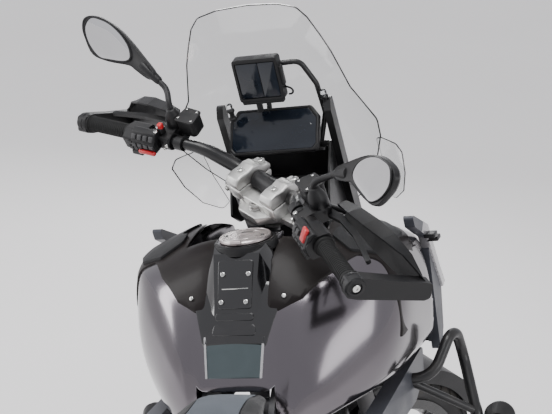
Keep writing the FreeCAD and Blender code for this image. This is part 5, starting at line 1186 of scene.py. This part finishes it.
def socket_bolt(name, radius, height):
    """A round bolt head with a six-sided socket, standing on the origin."""
    bpy.ops.object.select_all(action="DESELECT")
    bpy.ops.mesh.primitive_cylinder_add(vertices=12, radius=radius * MM, depth=height * MM,
                                        location=(0, 0, height * MM / 2))
    piece = bpy.context.object
    piece.name = name
    bpy.ops.object.transform_apply(location=True)
    bpy.ops.object.mode_set(mode="EDIT")
    bpy.ops.mesh.select_mode(type="FACE")
    bpy.ops.mesh.select_all(action="DESELECT")
    mesh = bmesh.from_edit_mesh(piece.data)
    for face in mesh.faces:
        face.select = face.normal.z > 0.9
    bmesh.update_edit_mesh(piece.data)
    bpy.ops.mesh.inset(thickness=radius * 0.18 * MM)
    bpy.ops.transform.translate(value=(0, 0, radius * 0.12 * MM))
    bpy.ops.mesh.inset(thickness=radius * 0.30 * MM)
    bpy.ops.mesh.extrude_region_move(TRANSFORM_OT_translate={"value": (0, 0, -height * 0.6 * MM)})
    bpy.ops.mesh.select_mode(type="VERT")
    return close_up()


def make_fuel_cap():
    """The lid with its turned rings, the key flap and its slot, and the dark stepped ring round it."""
    base = at(CAP_X, 0, CAP_RING_TOP + 0.3)

    def on_lid(corners, height, round_to):
        return rounded([base + at(dx, dy, height) for dx, dy in corners], round_to)

    lid = turned("cap_lid", base, UP, LID_PROFILE, 72)
    flap = plate("cap_flap", on_lid(FLAP_CORNERS, 7.6, 9), at(0, 0, 1.3), 0.5)
    screws = [turned("cap_screw", base + at(-4, y, 7.4), UP, LID_SCREW_PROFILE, 16) for y in (-40, 40)]
    hinge = turned("cap_hinge", at(926, -12, 1145.3), LEFT, HINGE_PROFILE, 16)
    link = boxed("cap_link", at(932, 0, 1142.2), (12, 23, 5.5), 0.8)
    lid = joined("cap_lid", [lid, flap, hinge, link])
    fit(lid, PARKED, "fuel_cap", cap_metal, 30)
    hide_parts("fuel_cap")
    slot = plate("cap_key_slot", on_lid(KEY_SLOT_CORNERS, 8.4, 2), at(0, 0, 0.8), 0.2)
    fit(joined("cap_key_slot", [slot] + screws), PARKED, "fuel_cap", gloss_black)
    ring = turned("cap_ring", at(CAP_X, 0, 1118), UP, CAP_RING_PROFILE, 72)
    fit(ring, PARKED, "chassis", black_plastic, 30)
    throat = turned("filler_throat", at(CAP_X, 0, 1092), UP, THROAT_PROFILE, 48)
    fit(throat, PARKED, "chassis", tank_alu, 30)


# Seats

# Rows of a cushion: x, half width, lowest and highest height, and how far its crown falls to the sides
RIDER_SEAT = (
    (799, 74, 856, 881, 4), (740, 90, 842, 886, 6), (640, 122, 834, 876, 8), (520, 164, 834, 876, 10),
    (430, 168, 838, 898, 12), (398, 160, 842, 930, 14),
)
PASSENGER_SEAT = (
    (392, 146, 848, 946, 12), (250, 154, 864, 962, 14), (90, 132, 894, 968, 12), (24, 104, 908, 952, 10),
)
SEAT_SHRINK = 2.0


def seat_ring(x, half, low, high, crown):
    """A cushion's section, from one lower edge over the crown to the other."""
    middle = (low + high) / 2
    side = [
        (half * 0.86, low), (half * 0.97, low + (middle - low) * 0.6), (half * 0.99, middle),
        (half * 0.95, high - crown - 3), (half * 0.82, high - crown * 0.8), (half * 0.6, high - crown * 0.35),
        (half * 0.3, high - crown * 0.08),
    ]
    left = [at(x, y, z) for y, z in side]
    right = [at(x, -y, z) for y, z in reversed(side)]
    return left + [at(x, 0, high)] + right + [at(x, 0, low)]


def between_rows(rows, count):
    """More rows, eased between the ones given."""
    done = []
    for a, b in zip(rows, rows[1:]):
        steps = max(1, round(abs(b[0] - a[0]) / count))
        for k in range(steps):
            t = k / steps
            ease = t * t * (3 - 2 * t) * 0.5 + t * 0.5
            eased = [p + (q - p) * ease for p, q in zip(a[1:], b[1:])]
            done.append(tuple([a[0] + (b[0] - a[0]) * t] + eased))
    done.append(rows[-1])
    return done


def plumped(piece, most):
    """Fills a cushion by cloth pressure, and holds every point near its place."""
    apply_modifier(piece, "REMESH", mode="VOXEL", voxel_size=0.006)
    rest = [v.co.copy() for v in piece.data.vertices]
    only(piece)
    foam = piece.modifiers.new("foam", "CLOTH")
    foam.settings.use_pressure = True
    foam.settings.uniform_pressure_force = 4.0
    foam.settings.effector_weights.gravity = 0.0
    foam.settings.quality = 4
    foam.collision_settings.use_collision = False
    for step in range(1, 21):
        bpy.context.scene.frame_set(step)
    bpy.ops.object.modifier_apply(modifier="foam")
    bpy.context.scene.frame_set(1)
    for vertex, home in zip(piece.data.vertices, rest):
        move = vertex.co - home
        if move.length > most * MM:
            vertex.co = home + move.normalized() * most * MM
    apply_modifier(piece, "SMOOTH", factor=0.5, iterations=6)
    return smoother(piece, 1)


def make_seat(name, rows, strip, node):
    """A cushion with a grey strip between black sides, and a welt along both edges of the strip."""
    rings = [
        seat_ring(x, half - SEAT_SHRINK, low + SEAT_SHRINK * 0.5, high - SEAT_SHRINK, crown)
        for x, half, low, high, crown in between_rows(rows, 28)
    ]
    cushion = plumped(lofted(name, rings), 5.0)
    width = cushion.data.attributes.new("across", "FLOAT", "POINT")
    for vertex in cushion.data.vertices:
        width.data[vertex.index].value = abs(vertex.co.y) / (strip(vertex.co.x / MM) * MM)
    for side, label in SIDES:
        points = []
        x0, x1 = rows[0][0] - 8, rows[-1][0] + 8
        for k in range(17):
            x = x0 + (x1 - x0) * k / 16
            hit, point, normal, _ = cushion.ray_cast(at(x, side * strip(x), 1200), DOWN)
            if hit:
                points.append(point - normal * 0.0004)
        welt = piped(name + "_welt_" + label, points, 1.5, sides=2)
        fit(welt, PARKED, "chassis", pad_rubber)
    fit(cushion, PARKED, "chassis", seat_cloth, 60, (node,))


# Bars, clamps, controls, grips and mirrors

YOKE_UP = 1296.0
YOKE_THICK = 20.0
FORK_HALF = 108.0
YOKE_HALF_OUTLINE = ((-28, 30), (6, 66), (8, 127), (20, 135), (52, 135), (64, 127), (58, 66), (44, 34))
DAMPER_HALF_OUTLINE = ((-14, 26), (2, 58), (40, 58), (44, 30))
WEB_CORNERS = ((-5, -42), (66, -42), (66, 42), (-5, 42))
CLAMP_Y = 58.0
CLAMP_HALF = 19.0
# Side view (forward, up) of a clamp's cap and of the riser under it, and its two bolts
BAR_MIDDLE = (44, 1343)
CLAMP_CAP = (
    (-9, 1345.5), (-11, 1361), (-3, 1371), (12, 1374), (30, 1373), (44, 1377), (58, 1373), (67, 1364),
    (80, 1362), (86, 1355), (84, 1345.5),
)
CLAMP_RISER = ((-6, 1312), (-9, 1343.5), (84, 1343.5), (80, 1330), (62, 1312))
CLAMP_BOLTS = ((21.5, 1373.5), (75, 1362))
# Half sections (along, radius) of a bolt's seat, the steering stem's nut and the sleeve between the clamps
BOLT_SEAT_PROFILE = ((-7, 0), (-7, 9.4), (0.6, 9.4), (1.8, 8.6), (1.8, 7.4), (0.4, 7.0), (0.4, 0))
STEM_NUT_PROFILE = ((0, 0), (0, 17), (4, 17), (5, 16), (11, 15.4), (12, 14.4), (12, 9), (9, 8.4), (9, 0))
SLEEVE_PROFILE = (
    (0, 16), (0, 19.4), (1.6, 20.6), (7, 20.8), (8, 20.0), (69, 20.0), (70, 20.8), (75.4, 20.6),
    (77, 19.4), (77, 16), (0, 16),
)
BAR_RADIUS = 11.0
# The bar's left half from its end to its middle: forward, across, up and radius
BAR_LINE = (
    (-98, 450, 1428, 11), (-57, 320, 1422.3, 11), (-31, 238, 1418.8, 11), (-21, 206, 1417.4, 11.5),
    (6, 163, 1403, 14), (26, 130, 1374, 16), (41, 98, 1350, 16), (44, 78, 1343, 16), (44, 30, 1343, 16),
)


def both_sides(half):
    """An outline given for the left side, carried on round the right."""
    return list(half) + [(f, -y) for f, y in reversed(half)]


def make_top_yoke():
    """The cast upper bridge, its risers with the bar clamps, their bolts, and the sleeve between them."""
    def outlined(corners, height, round_to):
        return rounded([at(f, y, height) for f, y in corners], round_to)

    pose = STEERED @ FORK_FRAME
    outline = outlined(both_sides(YOKE_HALF_OUTLINE), YOKE_UP, 10)
    bridge = plate("bridge", outline, at(0, 0, YOKE_THICK), 2.5, 3)
    for side in (1, -1):
        drilled(bridge, at(AXLE_FORWARD, side * FORK_HALF, YOKE_UP - 10), UP, 21.8, 50)
        cut_by(bridge, boxed("slit", at(8, side * FORK_HALF, YOKE_UP + 10), (22, 2.4, 40), 0.3))
    damper = plate("bridge", outlined(both_sides(DAMPER_HALF_OUTLINE), YOKE_UP - 16, 8), at(0, 0, 6), 1.4)
    web = plate("web", outlined(WEB_CORNERS, 1312, 6), at(0, 0, 20), 3.0, 3)
    parts = [bridge, damper, web]
    for side in (1, -1):
        y = side * CLAMP_Y
        for rows in (CLAMP_CAP, CLAMP_RISER):
            points = rounded([at(f, y - CLAMP_HALF, u) for f, u in rows], 5, 3)
            block = plate("clamp", points, at(0, 2 * CLAMP_HALF, 0), 3.2, 3)
            parts.append(drilled(block, at(BAR_MIDDLE[0], y - 40, BAR_MIDDLE[1]), LEFT, 16.3, 80))
    fit(joined("top_yoke", parts), pose, "steering", cast_silver, 35, ("top_yoke",))
    spots = [at(f, side * CLAMP_Y, u) for side in (1, -1) for f, u in CLAMP_BOLTS]
    seats = [turned("clamp_bolt_seat", spot, UP, BOLT_SEAT_PROFILE, 28) for spot in spots]
    fit(joined("clamp_bolt_seats", seats), pose, "steering", cast_silver, 30)
    pinch = [facing(at(8, side * (FORK_HALF + 12), YOKE_UP + 10), BACK) for side in (1, -1)]
    places = [Matrix.Translation(spot + at(0, 0, 0.2)) for spot in spots] + pinch
    bolts = copied("clamp_bolts", socket_bolt("bolt", 6.0, 3.6), places)
    fit(bolts, pose, "steering", bolt_steel)
    stem = turned("stem_nut", at(0, 0, YOKE_UP + YOKE_THICK - 1), UP, STEM_NUT_PROFILE, 36)
    fit(stem, pose, "steering", steel_brushed, 30)
    sleeve = turned("bar_sleeve", at(BAR_MIDDLE[0], -38.5, BAR_MIDDLE[1]), LEFT, SLEEVE_PROFILE, 40)
    fit(sleeve, pose, "steering", black_plastic, 30)


def make_bar():
    """One tapered tube from grip to grip, thick where the clamps hold it."""
    whole = list(BAR_LINE) + [(f, -y, u, r) for f, y, u, r in reversed(BAR_LINE)]
    points = [at(f, y, u) for f, y, u, _ in whole]
    bar = piped("handlebar", points, BAR_RADIUS, sides=6, shares=[row[3] / BAR_RADIUS for row in whole])
    fit(bar, STEERED @ FORK_FRAME, "steering", steel_black, 40, ("handlebar",))


# Grips, from the bar's end inwards: the inner flange's rows, the pitch of the grooves, and the outer flange
GRIP_INNER = ((0, 11.1), (0, 18.5), (-2, 20), (-5, 20), (-7, 17.2))
GRIP_OUTER = ((-117, 17.4), (-119, 20.5), (-122, 21), (-125, 20.4), (-125, 11.1), (0, 11.1))
GROOVE_PITCH = 5.2
BAR_WEIGHT_PROFILE = (
    (0, 0), (0, 19.2), (3, 20.4), (7, 20.6), (8, 19.6), (11, 19.6), (12, 20.8), (22, 20.4), (26, 17.5),
    (26.8, 12), (24, 11), (24, 0),
)


def make_grips():
    """Ribbed rubber grips between two flanges, with a stepped weight and its bolt at each end of the bar."""
    rows = list(GRIP_INNER)
    spot = -10.0
    while spot > -114:
        rows += [(spot, 17.2), (spot - 0.7, 16.2), (spot - 2.6, 16.2), (spot - 3.3, 17.2)]
        spot -= GROOVE_PITCH
    rows += GRIP_OUTER
    for side, name in SIDES:
        pose = grip_pose(side)
        grip = turned("grip_" + name, Vector((0, 0, 0)), LEFT, rows, 40)
        fit(grip, pose, "steering", grip_rubber, 30)
        if side == 1:
            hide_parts("grips")
        weight = turned("bar_end_" + name, at(0, 0.3, 0), LEFT, BAR_WEIGHT_PROFILE, 40)
        fit(weight, pose, "steering", black_plastic, 30)
        end = moved(socket_bolt("bar_end_bolt_" + name, 7.5, 3.6), facing(at(0, 24.2, 0), LEFT))
        fit(end, pose, "steering", bolt_steel)


RESERVOIR_LID = ((18, -294), (64, -288), (68, -244), (22, -240))
RESERVOIR_SCREWS = ((27, -285), (56, -281), (60, -252), (30, -248))
# Half sections (along, radius) of the switch block's collar and of the perch clamp
COLLAR_PROFILE = (
    (0, 11), (0, 21), (1.5, 23.4), (6, 23.4), (7.5, 21.5), (9, 20), (11, 20), (11, 11), (0, 11),
)
PERCH_PROFILE = ((0, 11), (0, 17.5), (1.4, 19), (11, 19), (12.4, 17.5), (12.4, 11), (0, 11))
# Along the bar: where each side's key pad starts and ends, and where its upper and its lower keys are
KEY_ROWS = {
    "left": (-214, -150, (-206, -190, -174, -158), (-206, -190, -174, -158)),
    "right": (-196, -128, (-186, -171), (-186, -171, -156, -141)),
}
# Side view (forward, up) of the raised key pad behind each switch block
KEY_PAD = ((-35, -14), (-36, 10), (-22, 30), (-8, 33), (-2, 22), (-8, -12))
PAD_SLOPE = Vector((-20, 0, 14)).normalized()


def slanted(name, centre, size, bevel, way=PAD_SLOPE):
    """A rounded key whose face looks along the way given: width across the bar, length and height."""
    key = boxed(name, Vector((0, 0, 0)), size, bevel, 3)
    return moved(key, from_axes(centre, LEFT.cross(way), LEFT, way))


def make_controls():
    """Key pads, keys and buttons on the switch blocks, and the reservoirs' lids with their screws."""
    for side, name in SIDES:
        pose = grip_pose(side)
        y0, y1, upper, lower = KEY_ROWS[name]
        outline = rounded([at(f, y, 39.8) for f, y in RESERVOIR_LID], 8)
        lid = plate("reservoir_lid_" + name, outline, at(0, 0, 5), 1.6, 3)
        fit(lid, pose, "steering", black_plastic, 35)
        places = [Matrix.Translation(at(f, y, 44.4)) for f, y in RESERVOIR_SCREWS]
        screws = copied("reservoir_screws_" + name, socket_bolt("screw", 2.6, 1.4), places)
        fit(screws, pose, "steering", bolt_steel)
        outline = rounded([at(f, y0, u) for f, u in KEY_PAD], 5)
        pad = plate("key_pad_" + name, outline, at(0, y1 - y0, 0), 2.4, 3)
        collar = turned("switch_collar", at(0, -137, 0), LEFT, COLLAR_PROFILE, 36)
        perch = turned("perch_clamp", at(0, -243, 0), LEFT, PERCH_PROFILE, 32)
        block = joined("key_pad_" + name, [pad, collar, perch])
        fit(block, pose, "steering", black_plastic, 35)
        places = [facing(at(-18.6, -237, 3), BACK), facing(at(-16.4, -226, -9), BACK)]
        places.append(facing(at(-14, -213, 31), UP))
        bolts = copied("perch_bolts_" + name, socket_bolt("perch_bolt", 4.4, 3.0), places)
        fit(bolts, pose, "steering", bolt_steel)
        keys = [slanted("key", at(-29, y, 21), (12, 12, 6), 2.0) for y in upper]
        keys += [slanted("key", at(-36, y, 3), (9, 12, 5), 1.6, BACK) for y in lower]
        fit(joined("switch_keys_" + name, keys), pose, "steering", key_grey, 40)
    lever = boxed("signal_lever", at(-37, -190, -12), (11, 46, 10), 4.2, 4)
    fit(lever, grip_pose(1), "steering", switch_red, 50)
    flash = boxed("flasher_button", at(2, -216, 36), (12, 11, 16), 3.4, 4)
    fit(flash, grip_pose(1), "steering", switch_red, 50)
    post = boxed("flasher_post", at(2, -215, 25), (15, 13, 18), 3.0, 3)
    fit(post, grip_pose(1), "steering", black_plastic, 40)
    stop = slanted("stop_switch", at(-24, -146, 27), (30, 19, 8), 3.6)
    fit(stop, grip_pose(-1), "steering", switch_red, 50)


MIRROR_PLACE = (
    Matrix.Translation(at(964, 438, 1428.5)) @ Matrix.Rotation(math.radians(17.5), 4, "Z")
    @ Matrix.Rotation(math.radians(8), 4, "Y")
)
MIRROR_BASE = (39, -226, 12)
# Corners (across, up) of the shell and of the glass, looked at from behind
MIRROR_SHELL = (
    (80, 34), (61, 46), (21, 47), (-21, 35), (-58, 16), (-102, -12), (-139, -38), (-128, -55), (-91, -45),
    (-67, -38), (-8, -43), (40, -38), (68, -8), (80, 13),
)
MIRROR_GLASS = (
    (70, 18), (57, 41), (27, 43), (-1, 38), (-30, 25), (-53, 8), (-64, -8), (-65, -23), (-46, -32),
    (-7, -37), (17, -38), (39, -27), (59, -8),
)
# Rings of the shell, rim and glass: depth and share of the outline. Then half sections of stem fittings
SHELL_RINGS = (
    (1.4, 0.955), (0.2, 0.975), (1.2, 0.995), (4, 1.0), (10, 1.0), (15, 0.94), (20, 0.83), (24, 0.68),
    (26, 0.5), (26.6, 0.25),
)
RIM_RINGS = ((4, 1.07), (-0.4, 1.06), (-1.8, 1.035), (-1.6, 1.0), (0.4, 0.99), (0.9, 0.9))
GLASS_RINGS = ((0.8, 0.992), (-0.5, 0.992), (-0.6, 0.98), (-0.9, 0.5), (-1.0, 0.1))
SOCKET_PROFILE = ((0, 0), (0, 7.6), (3, 9), (30, 11), (50, 13), (58, 12), (62, 0))
BOOT_PROFILE = (
    (-22, 0), (-22, 17), (-20, 19.5), (-2, 20.5), (0, 19.2), (2, 20.5), (20, 19.5), (30, 16.5), (38, 12.5),
    (44, 10.5), (46, 8), (47, 0),
)


def make_mirrors():
    """Long teardrop shells with a rim round the glass, on bent stems with wide boots at the perch."""
    shell_loop = flowing([Vector((0, y, z)) * MM for y, z in MIRROR_SHELL], 4)
    glass_loop = flowing([Vector((0, y, z)) * MM for y, z in MIRROR_GLASS], 4)

    def drawn_in(name, loop, rows):
        return lofted(name, [[Vector((depth * MM, p.y * share, p.z * share)) for p in loop]
                             for depth, share in rows])

    base = GRIP_FRAME @ at(*MIRROR_BASE)
    lift = (GRIP_FRAME.to_3x3() @ UP).normalized()
    neck_low = MIRROR_PLACE @ at(10, -170, -62)
    neck_end = MIRROR_PLACE @ at(10, -118, -42)
    neck = neck_low.lerp(neck_end, 0.4)
    way = (MIRROR_PLACE @ at(9, -96, -30) - neck).normalized()
    stem_line = [base, base + lift * 0.03, base + lift * 0.058, neck_low.lerp(base, 0.06),
                 neck_low.lerp(neck_end, 0.35), neck_end]
    for side, name in SIDES:
        pose = STEERED if side == 1 else STEERED @ OTHER_SIDE
        shell = drawn_in("mirror_shell_" + name, shell_loop, SHELL_RINGS)
        rim = drawn_in("rim", glass_loop, RIM_RINGS)
        stem = piped("stem", stem_line, 6.6, sides=5)
        socket = turned("socket", neck, way, SOCKET_PROFILE, 28)
        boot = turned("boot", base, lift, BOOT_PROFILE, 36)
        parts = [moved(shell, MIRROR_PLACE), moved(rim, MIRROR_PLACE), stem, socket, boot]
        body = joined("mirror_shell_" + name, parts)
        fit(body, pose, "steering", black_plastic, 40)
        if side == 1:
            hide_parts("mirrors")
        glass = drawn_in("mirror_glass_" + name, glass_loop, GLASS_RINGS)
        fit(moved(glass, MIRROR_PLACE), pose, "steering", mirror_face, 40)


# Cockpit: display, navigator and screen fittings

DISPLAY_LOW = Vector((1217, 0, 1262)) * MM
DISPLAY_HIGH = Vector((1265, 0, 1353)) * MM


# Rings of the display: depth behind its face and inset from its outline
CASE_RINGS = (
    (2.4, 6.5), (0.8, 6.0), (-0.6, 4.6), (-0.8, 2.4), (0.4, 0.4), (3, 0), (14, 0), (19, 3), (20, 12),
)
DISPLAY_GLASS_RINGS = ((2.4, 6.6), (1.0, 6.6), (0.8, 7.4))
DISPLAY_BACK_RINGS = ((19.5, 16), (30, 22), (36, 40))


def make_display():
    """A wide case with cut corners, a raised rim and a glass face with rain on it."""
    up = (DISPLAY_HIGH - DISPLAY_LOW).normalized()
    tall = (DISPLAY_HIGH - DISPLAY_LOW).length / MM
    ahead = Vector((up.z, 0, -up.x))
    half = [(-96, 0), (-104, 10), (-104, tall - 24), (-86, tall)]
    shape = half + [(-y, t) for y, t in reversed(half)]

    def drawn_in(name, rows):
        rings = []
        for depth, inset in rows:
            corners = [DISPLAY_LOW + LEFT * (y - math.copysign(inset, y)) * MM
                       + up * (t + (inset if t < tall / 2 else -inset)) * MM + ahead * depth * MM
                       for y, t in shape]
            rings.append(rounded(corners, 7, 3))
        return lofted(name, rings)

    case = drawn_in("display_case", CASE_RINGS)
    fit(case, PARKED, "chassis", black_plastic, 35, ("instruments",))
    glass = drawn_in("display_glass", DISPLAY_GLASS_RINGS)
    fit(glass, PARKED, "chassis", screen_glass, 30)
    back = drawn_in("display_back", DISPLAY_BACK_RINGS)
    fit(back, PARKED, "chassis", black_plastic, 35)


NAV_FACE = Vector((1196, 3, 1427)) * MM
NAV_PLACE = Matrix.Translation(NAV_FACE) @ Matrix.Rotation(-math.radians(14), 4, "Y")


# Rings of the navigation unit's cradle: depth, half width, half height and corner radius
CRADLE_RINGS = (
    (4, 45, 41, 5), (-0.5, 46, 42, 5), (-1, 49, 46, 6), (0, 51.5, 49.5, 8), (3, 52, 50, 8), (24, 52, 50, 8),
    (30, 46, 44, 8), (30.5, 30, 28, 8),
)
HOOK_LINE = ((18, -52, -26), (14, -64, -28), (8, -72, -34), (10, -66, -42), (16, -58, -44))


def make_navigator():
    """The boxed navigation unit: cradle, two-part dark screen, side latch and lower foot."""
    def pane(depth, y0, y1, half, corner, steps):
        corners = [at(depth, y0, -half), at(depth, y1, -half), at(depth, y1, half), at(depth, y0, half)]
        return rounded(corners, corner, steps)

    cradle = lofted("nav_cradle", [pane(depth, -w, w, h, corner, 3) for depth, w, h, corner in CRADLE_RINGS])
    foot = boxed("nav_foot", at(8, 0, -52), (14, 96, 9), 3.0, 3)
    latch = boxed("nav_latch", at(10, -54, 4), (16, 6, 44), 2.2, 3)
    hook = piped("nav_hook", [at(*point) for point in HOOK_LINE], 2.2)
    arm = boxed("nav_arm", at(16, 16, -66), (12, 12, 30), 3.0, 3)
    body = moved(joined("nav_cradle", [cradle, foot, latch, hook, arm]), NAV_PLACE)
    fit(body, PARKED, "chassis", black_plastic, 35)
    halves = [plate("nav_half", pane(2.0, y0, y1, 40, 3, 4), at(-1.8, 0, 0), 0.5)
              for y0, y1 in ((-44, -7), (-5.5, 44))]
    screen = moved(joined("nav_screens", halves), NAV_PLACE)
    fit(screen, PARKED, "chassis", screen_glass)


SCREEN_OUTLINE = (
    (0, 1590.2), (70, 1586.4), (112, 1576), (132, 1553), (150, 1514), (166, 1474), (189, 1389), (238, 1314),
    (234, 1272), (206, 1214), (162, 1150), (120, 1100), (0, 1092),
)
# The screen's side deflectors (across, up), and the places and half sections of its posts and their knobs
DEFLECTOR_OUTLINE = (
    (212, 1264), (262, 1250), (274, 1230), (266, 1176), (246, 1124), (214, 1096), (196, 1112), (208, 1190),
)
SCREEN_POSTS = ((1240, 90, 1356), (1264, -122, 1366))
POST_PROFILE = ((0, 0), (0, 9), (6, 9), (8, 6), (18, 5.4), (22, 8.6), (26, 8.6), (28, 6), (28, 0))
KNOB_PROFILE = ((0, 0), (0, 6.4), (8, 7.2), (12, 5.6), (13, 0))


def on_screen(y, z, ahead=0.0):
    """The point of the curved screen sheet at a height and side place."""
    turn = math.radians(27)
    back = -400 + math.sqrt(398 ** 2 - y * y)
    along = (z - 1576 - math.sin(turn) * back) / math.cos(turn)
    return at(1196 + ahead + math.cos(turn) * back - math.sin(turn) * along, y, z)


def make_screen_trim():
    """A thin dark line round the sheet's edge and round each deflector, and the posts with their knobs."""
    whole = list(SCREEN_OUTLINE) + [(-y, z) for y, z in reversed(SCREEN_OUTLINE[1:-1])]
    flat = rounded([Vector((0, y, z)) * MM for y, z in whole], 22, 5)
    parts = [piped("edge", [on_screen(p.y / MM, p.z / MM) for p in flat], 1.5, True, "POLY", 1)]
    for side in (1, -1):
        flat = rounded([Vector((0, side * y, z)) * MM for y, z in DEFLECTOR_OUTLINE], 10, 4)
        parts.append(piped("edge", [on_screen(p.y / MM, p.z / MM, 26) for p in flat], 1.2, True, "POLY", 1))
    fit(joined("screen_edges", parts), PARKED, "chassis", gloss_black, 60)
    way = Vector((-0.4, 0, 1))
    posts = []
    knobs = []
    for x, y, z in SCREEN_POSTS:
        posts.append(turned("post", at(x, y, z - 18), way, POST_PROFILE, 20))
        knobs.append(turned("knob", at(x - 10, y, z + 8), way, KNOB_PROFILE, 20))
    fit(joined("screen_posts", posts), PARKED, "chassis", black_plastic, 30)
    fit(joined("screen_knobs", knobs), PARKED, "chassis", lamp_glass, 40)


# Wheels

def make_tyre(name, centre, ring_r, crown_r, rim_r, bead, groove, rows, pitches, length):
    """A carcass with raised blocks in rows, each row a little behind its neighbour."""
    flank = [(-bead, rim_r + 1), (-bead - 1.5, rim_r + 13)]
    reach = math.radians(74)
    inner = crown_r - groove
    crown = [(inner * math.sin(reach * k / 9), ring_r + inner * math.cos(reach * k / 9))
             for k in range(-9, 10)]
    profile = flank + crown + [(-y, r) for y, r in reversed(flank)]
    profile.append(profile[0])
    carcass = turned(name, centre, LEFT, profile, 96)
    root_r = inner - 3
    blocks = []
    for across, half, phase, skew in rows:
        angles = [math.radians(across + half * t) for t in (-1, -0.5, 0, 0.5, 1)]
        top = [at(-length / 2, crown_r * math.sin(a), ring_r + crown_r * math.cos(a)) for a in angles]
        angles.reverse()
        root = [at(-length / 2, root_r * math.sin(a), ring_r + root_r * math.cos(a)) for a in angles]
        block = plate("block", top + root, at(length, 0, 0), 1.3, 1)
        for vertex in block.data.vertices:
            vertex.co.x += skew * (vertex.co.y - top[2].y)
        blocks.append(moved(block, Matrix.Rotation(math.tau * phase / pitches, 4, LEFT)))
    turns = [Matrix.Translation(centre) @ Matrix.Rotation(math.tau * k / pitches, 4, LEFT)
             for k in range(pitches)]
    return joined(name, [carcass, copied(name + "_tread", joined("pattern", blocks), turns)])


# Tread rows: angle across the crown, half angle of a block, its share of the pitch behind, and its skew
FRONT_ROWS = (
    (0, 10, 0.0, 0.0), (25, 11, 0.5, 0.45), (-25, 11, 0.5, -0.45), (52, 12, 0.0, 0.3), (-52, 12, 0.0, -0.3),
)
REAR_ROWS = (
    (8.5, 7, 0.0, 0.3), (-8.5, 7, 0.5, 0.3), (26, 8, 0.5, 0.5), (-26, 8, 0.0, -0.5), (46, 9, 0.0, 0.3),
    (-46, 9, 0.5, -0.3),
)


def make_wheels():
    """Both tyres with their tread."""
    front = make_tyre("front_tyre_tread", FRONT_AXLE, ring_r=263, crown_r=61.7, rim_r=241, bead=44,
                      groove=6.5, rows=FRONT_ROWS, pitches=42, length=37)
    fit(front, STEERED, "front_wheel", tyre_rubber, 30, ("front_tyre",))
    rear = make_tyre("rear_tyre_tread", REAR_AXLE, ring_r=228, crown_r=89.6, rim_r=216, bead=66,
                     groove=7.0, rows=REAR_ROWS, pitches=38, length=40)
    fit(rear, PARKED, "rear_wheel", tyre_rubber, 30, ("rear_tyre",))


set_camera()
set_stage()
dress_nodes()
make_tank()
make_centre_panel()
make_side_strips()
make_lamps()
make_fuel_cap()
make_seat("rider_cushion", RIDER_SEAT, lambda x: 53 if x > 700 else 53 + (700 - x) * 0.17, "seat_rider")
make_seat("passenger_cushion", PASSENGER_SEAT, lambda x: 92 - (392 - x) * 0.05, "seat_passenger")
make_top_yoke()
make_bar()
make_grips()
make_controls()
make_mirrors()
make_display()
make_navigator()
make_screen_trim()
make_wheels()
